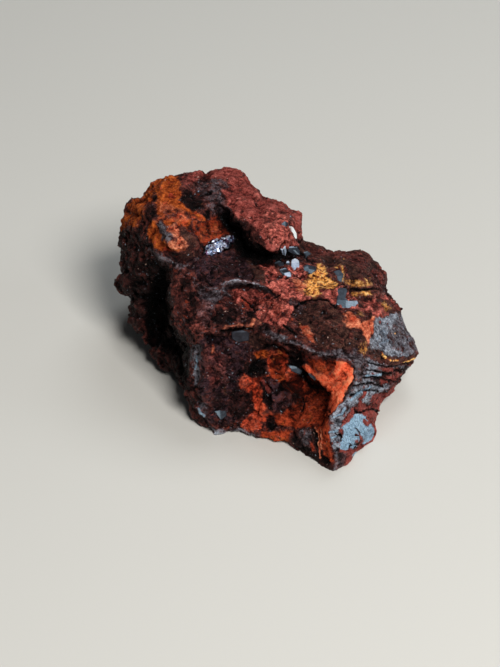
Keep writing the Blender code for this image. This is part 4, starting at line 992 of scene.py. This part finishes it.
def openness(skin):
    """How much of the sky above its skin each point sees, from 0 to 1."""
    tree = tree_of(skin.obj)
    random.seed(4)
    directions = [Vector([random.gauss(0, 1) for _ in range(3)]).normalized() for _ in range(SKY_RAYS)]
    clear = np.zeros(len(skin.points))
    for index, (point, normal) in enumerate(zip(skin.points, skin.normals)):
        up = Vector(normal)
        start = Vector(point) + up * SKY_START
        for direction in directions:
            leaning = (direction + up * 1.02).normalized()
            clear[index] += tree.ray_cast(start, leaning, SKY_REACH)[0] is None
    return clear / SKY_RAYS


def store_form(skin):
    """Keeps how far each point stands above its surroundings, near and far, and how much sky it sees, as a
    colour attribute from which the shader paints light and shade.
    """
    mesh = skin.obj.data
    edges = np.empty(len(mesh.edges) * 2, int)
    mesh.edges.foreach_get("vertices", edges)
    edges = edges.reshape(-1, 2)
    count = np.maximum(np.bincount(edges.ravel(), minlength=len(skin.points)), 1)
    near = evened(skin.points, edges, count, NEAR_ROUNDS)
    far = evened(near, edges, count, FAR_ROUNDS)
    levels = np.ones((len(skin.points), 4))
    for column, (upper, lower, span) in enumerate(((skin.points, near, NEAR_SPAN), (near, far, FAR_SPAN))):
        stand = ((upper - lower) * skin.normals).sum(axis=1) / MM
        levels[:, column] = np.clip(0.5 + 0.5 * stand / span, 0, 1)
    levels[:, 2] = openness(skin)
    layer = mesh.color_attributes.new("form", "FLOAT_COLOR", "POINT")
    layer.data.foreach_set("color", levels.ravel())


def plate_material():
    """Pyrite's flat faces, from near black to bright, partly own tone and partly painted reflection, with
    faint growth lines.
    """
    s = Shader("pyrite_faces")
    lines = s.noise(0.1, 4, 0.7, offset=0.002)
    level = s.weigh(s.noise(0.35, 4, 0.6, 0.5), 0.5, 0.35, s.attribute("tone_and_painted_reflection")["Fac"])
    level = s.weigh(lines, 0.5, 0.2, level)
    s.put(s.colours(level, PLATE_COLOURS), s.surface.inputs["Base Color"])
    s.put(s.ramp(level, 0.1, 0.7, 0.6, 0.28), s.surface.inputs["Roughness"])
    s.surface.inputs["Metallic"].default_value = 0.35
    s.surface.inputs["Specular IOR Level"].default_value = 0.15
    s.bump(lines, 0.01, 0.3)
    return s.material


def druse_material():
    """Small bright cubes, some of them dark or violet."""
    s = Shader("pyrite_druse")
    bright, violet, pale = s.channels(s.cells(0.22))
    dark_cube = s.mix(s.ramp(violet, 0.3, 0.7), (0.04, 0.03, 0.06), (0.14, 0.05, 0.09))
    light_cube = s.mix(s.ramp(pale, 0.2, 0.8), (0.26, 0.33, 0.50), (0.72, 0.77, 0.88))
    s.put(s.mix(s.ramp(bright, 0.3, 0.4), dark_cube, light_cube), s.surface.inputs["Base Color"])
    s.surface.inputs["Metallic"].default_value = 0.7
    s.put(s.ramp(s.noise(0.1, 3), 0.3, 0.7, 0.15, 0.3), s.surface.inputs["Roughness"])
    return s.material


def dress_stone(material):
    """The whole limonite, remade finely and painted, in a few parts."""
    crystals = ["pyrite_sheet"] + ["pyrite_" + name for name in PLATES]
    skin = Skin("limonite_matrix", "limonite_skin", SKIN_VOXEL, 3, crystals)
    shares = all_shares(skin)
    skin.push(relief(skin, shares))
    for crystal in crystals:
        sink_under(skin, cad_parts[crystal])
    store_shares(skin.obj, shares)
    store_form(skin)
    skin.obj.data.materials.append(material)
    parts = cut_in_parts(skin.obj, SKIN_PARTS)
    for part in parts:
        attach(part, "root")
        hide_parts("limonite_matrix")
    return skin


def sink_under(skin, crystal):
    """Lowers the skin to just under a crystal's face, where the crystal lies in it."""
    tree = tree_of(crystal)
    face = max(crystal.data.polygons, key=facing_area)
    out = np.array(face.normal)
    corners = np.array([corner[:] for corner in crystal.bound_box])
    away = np.linalg.norm(skin.points - corners.mean(axis=0), axis=1)
    for index in np.flatnonzero(away < np.ptp(corners, axis=0).max()):
        start = Vector(skin.points[index] + out * BED_REACH)
        hit = tree.ray_cast(start, Vector(-out), 2 * BED_REACH)[0]
        if hit:
            skin.points[index] = np.array(hit) - out * BED_DEPTH
    skin.update()


def facing_area(polygon):
    """The area of a face as the eye sees it."""
    return polygon.area * polygon.normal.dot((EYE - polygon.center).normalized())


def cut_in_parts(obj, number):
    """Cuts a surface across X into parts with equally many faces, shaded as one."""
    mesh = obj.data
    mesh.shade_smooth()
    normals = [tuple(vertex.normal) for vertex in mesh.vertices]
    mesh.normals_split_custom_set_from_vertices(normals)
    middles = np.array([face.center.x for face in mesh.polygons])
    limits = np.quantile(middles, np.linspace(0, 1, number + 1))
    limits[-1] += 1
    parts = []
    for count in range(number):
        part = obj.copy()
        part.data = mesh.copy()
        part.name = f"{obj.name}_{count}"
        bpy.context.scene.collection.objects.link(part)
        keep_faces(part.data, (middles >= limits[count]) & (middles < limits[count + 1]))
        parts.append(part)
    bpy.data.objects.remove(obj)
    return parts


def keep_faces(mesh, kept):
    """Deletes the mesh's other faces."""
    bm = bmesh.new()
    bm.from_mesh(mesh)
    bm.faces.ensure_lookup_table()
    bmesh.ops.delete(bm, geom=[bm.faces[index] for index in np.flatnonzero(~kept)], context="FACES")
    bm.to_mesh(mesh)
    bm.free()


def dress_druse(skin):
    """Small cubes grown out of the hollow where the druse is drawn."""
    random.seed(11)
    corners = np.array(DRUSE_OUTLINE)
    low, high = corners.min(axis=0), corners.max(axis=0)
    trees = (tree_of(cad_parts["pyrite_druse"]), skin.tree)
    bm = bmesh.new()
    made = 0
    while made < DRUSE_CUBES:
        place = np.array([[random.uniform(low[0], high[0]), random.uniform(low[1], high[1])]])
        if inside_distances(place, DRUSE_OUTLINE)[0] < DRUSE_MARGIN:
            continue
        hits = [tree.ray_cast(EYE, sight_ray(*place[0])) for tree in trees]
        spot, normal, _, _ = min((hit for hit in hits if hit[0]), key=lambda hit: hit[3])
        size = random.uniform(*DRUSE_CUBE) * MM
        turn = Vector([random.gauss(0, 1) for _ in range(3)]).to_track_quat("Z", "Y").to_matrix().to_4x4()
        matrix = Matrix.Translation(spot + normal * size * DRUSE_LIFT) @ turn
        bmesh.ops.create_cube(bm, size=size, matrix=matrix)
        made += 1
    obj = add_object("druse_cubes", mesh_of(bm, "druse_cubes"))
    obj.data.materials.append(druse_material())
    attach(obj, "root")
    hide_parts("pyrite_druse")


def dress_sheet(material):
    """The pale sheet of pyrite with its ragged edge and veins."""
    skin = Skin("pyrite_sheet", "pyrite_sheet_skin", SHEET_VOXEL, 2)
    shares = drawn_shares(skin.points, skin.places, SHEET_ZONES, "brick")
    skin.push(relief(skin, shares))
    store_shares(skin.obj, shares)
    store_form(skin)
    skin.obj.data.materials.append(material)
    skin.obj.data.shade_smooth()
    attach(skin.obj, "root")
    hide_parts("pyrite_sheet")


def dress_plates():
    """Each flat crystal, its face broken finely into lighter and darker parts of own tone and painted
    reflection.
    """
    material = plate_material()
    for name, (ground, facets) in PLATES.items():
        bm = bmesh.new()
        bm.from_mesh(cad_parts["pyrite_" + name].data)
        bmesh.ops.remove_doubles(bm, verts=bm.verts, dist=MERGE_REACH)
        for _ in range(PLATE_ROUNDS):
            long_edges = [edge for edge in bm.edges if edge.calc_length() > PLATE_GRID]
            bmesh.ops.subdivide_edges(bm, edges=long_edges, cuts=1)
            bmesh.ops.triangulate(bm, faces=bm.faces)
        obj = add_object(name + "_faces", mesh_of(bm, name + "_faces"))
        places = drawn_places(np.array([vertex.co for vertex in obj.data.vertices]))
        levels = np.full(len(places), ground)
        for _, level, outline in facets:
            amount = smoothstep(inside_distances(places, outline), -PLATE_SOFTNESS, PLATE_SOFTNESS)
            levels = levels * (1 - amount) + level * amount
        layer = obj.data.attributes.new("tone_and_painted_reflection", "FLOAT", "POINT")
        layer.data.foreach_set("value", levels)
        obj.data.materials.append(material)
        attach(obj, "root")
        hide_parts("pyrite_" + name)


def add_camera():
    data = bpy.data.cameras.new("camera")
    data.sensor_width = SENSOR
    data.lens = FOCAL * SENSOR / IMAGE_HEIGHT
    data.clip_start, data.clip_end = 0.005, 5.0
    camera = add_object("camera", data)
    camera.location = EYE
    camera.rotation_euler = (math.pi / 2 - LEAN, 0, 0)
    bpy.context.scene.camera = camera


def area_light(name, place, size, power, colour):
    """A square light that faces the stone."""
    data = bpy.data.lights.new(name, "AREA")
    data.size = size
    data.energy = power
    data.color = colour
    light = add_object(name, data)
    light.location = place
    light.rotation_euler = (LIGHT_TARGET - Vector(place)).to_track_quat("-Z", "Y").to_euler()


def add_stage():
    """A plain pale floor, a dim sky and three soft lights."""
    bm = bmesh.new()
    bmesh.ops.create_grid(bm, x_segments=1, y_segments=1, size=FLOOR_REACH)
    floor = add_object("floor", mesh_of(bm, "floor"))
    paint_floor = Shader("floor")
    paint_floor.surface.inputs["Base Color"].default_value = (0.55, 0.54, 0.5, 1)
    paint_floor.surface.inputs["Roughness"].default_value = 0.8
    floor.data.materials.append(paint_floor.material)
    world = bpy.data.worlds.new("studio")
    world.use_nodes = True
    background = world.node_tree.nodes["Background"]
    background.inputs["Color"].default_value = (0.85, 0.92, 1, 1)
    background.inputs["Strength"].default_value = 0.045
    bpy.context.scene.world = world
    area_light("window", (0.10, -0.20, 0.25), 0.12, 1.35, (1.0, 0.98, 0.96))
    area_light("skylight", (0.08, 0.16, 0.28), 0.16, 0.35, (0.92, 0.96, 1.0))
    area_light("side", (0.30, -0.03, 0.10), 0.14, 0.2, (0.85, 0.93, 1.0))


bpy.context.scene.view_settings.view_transform = "Standard"
limonite = stone_material()
stone_skin = dress_stone(limonite)
dress_sheet(limonite)
dress_druse(stone_skin)
dress_plates()
add_camera()
add_stage()
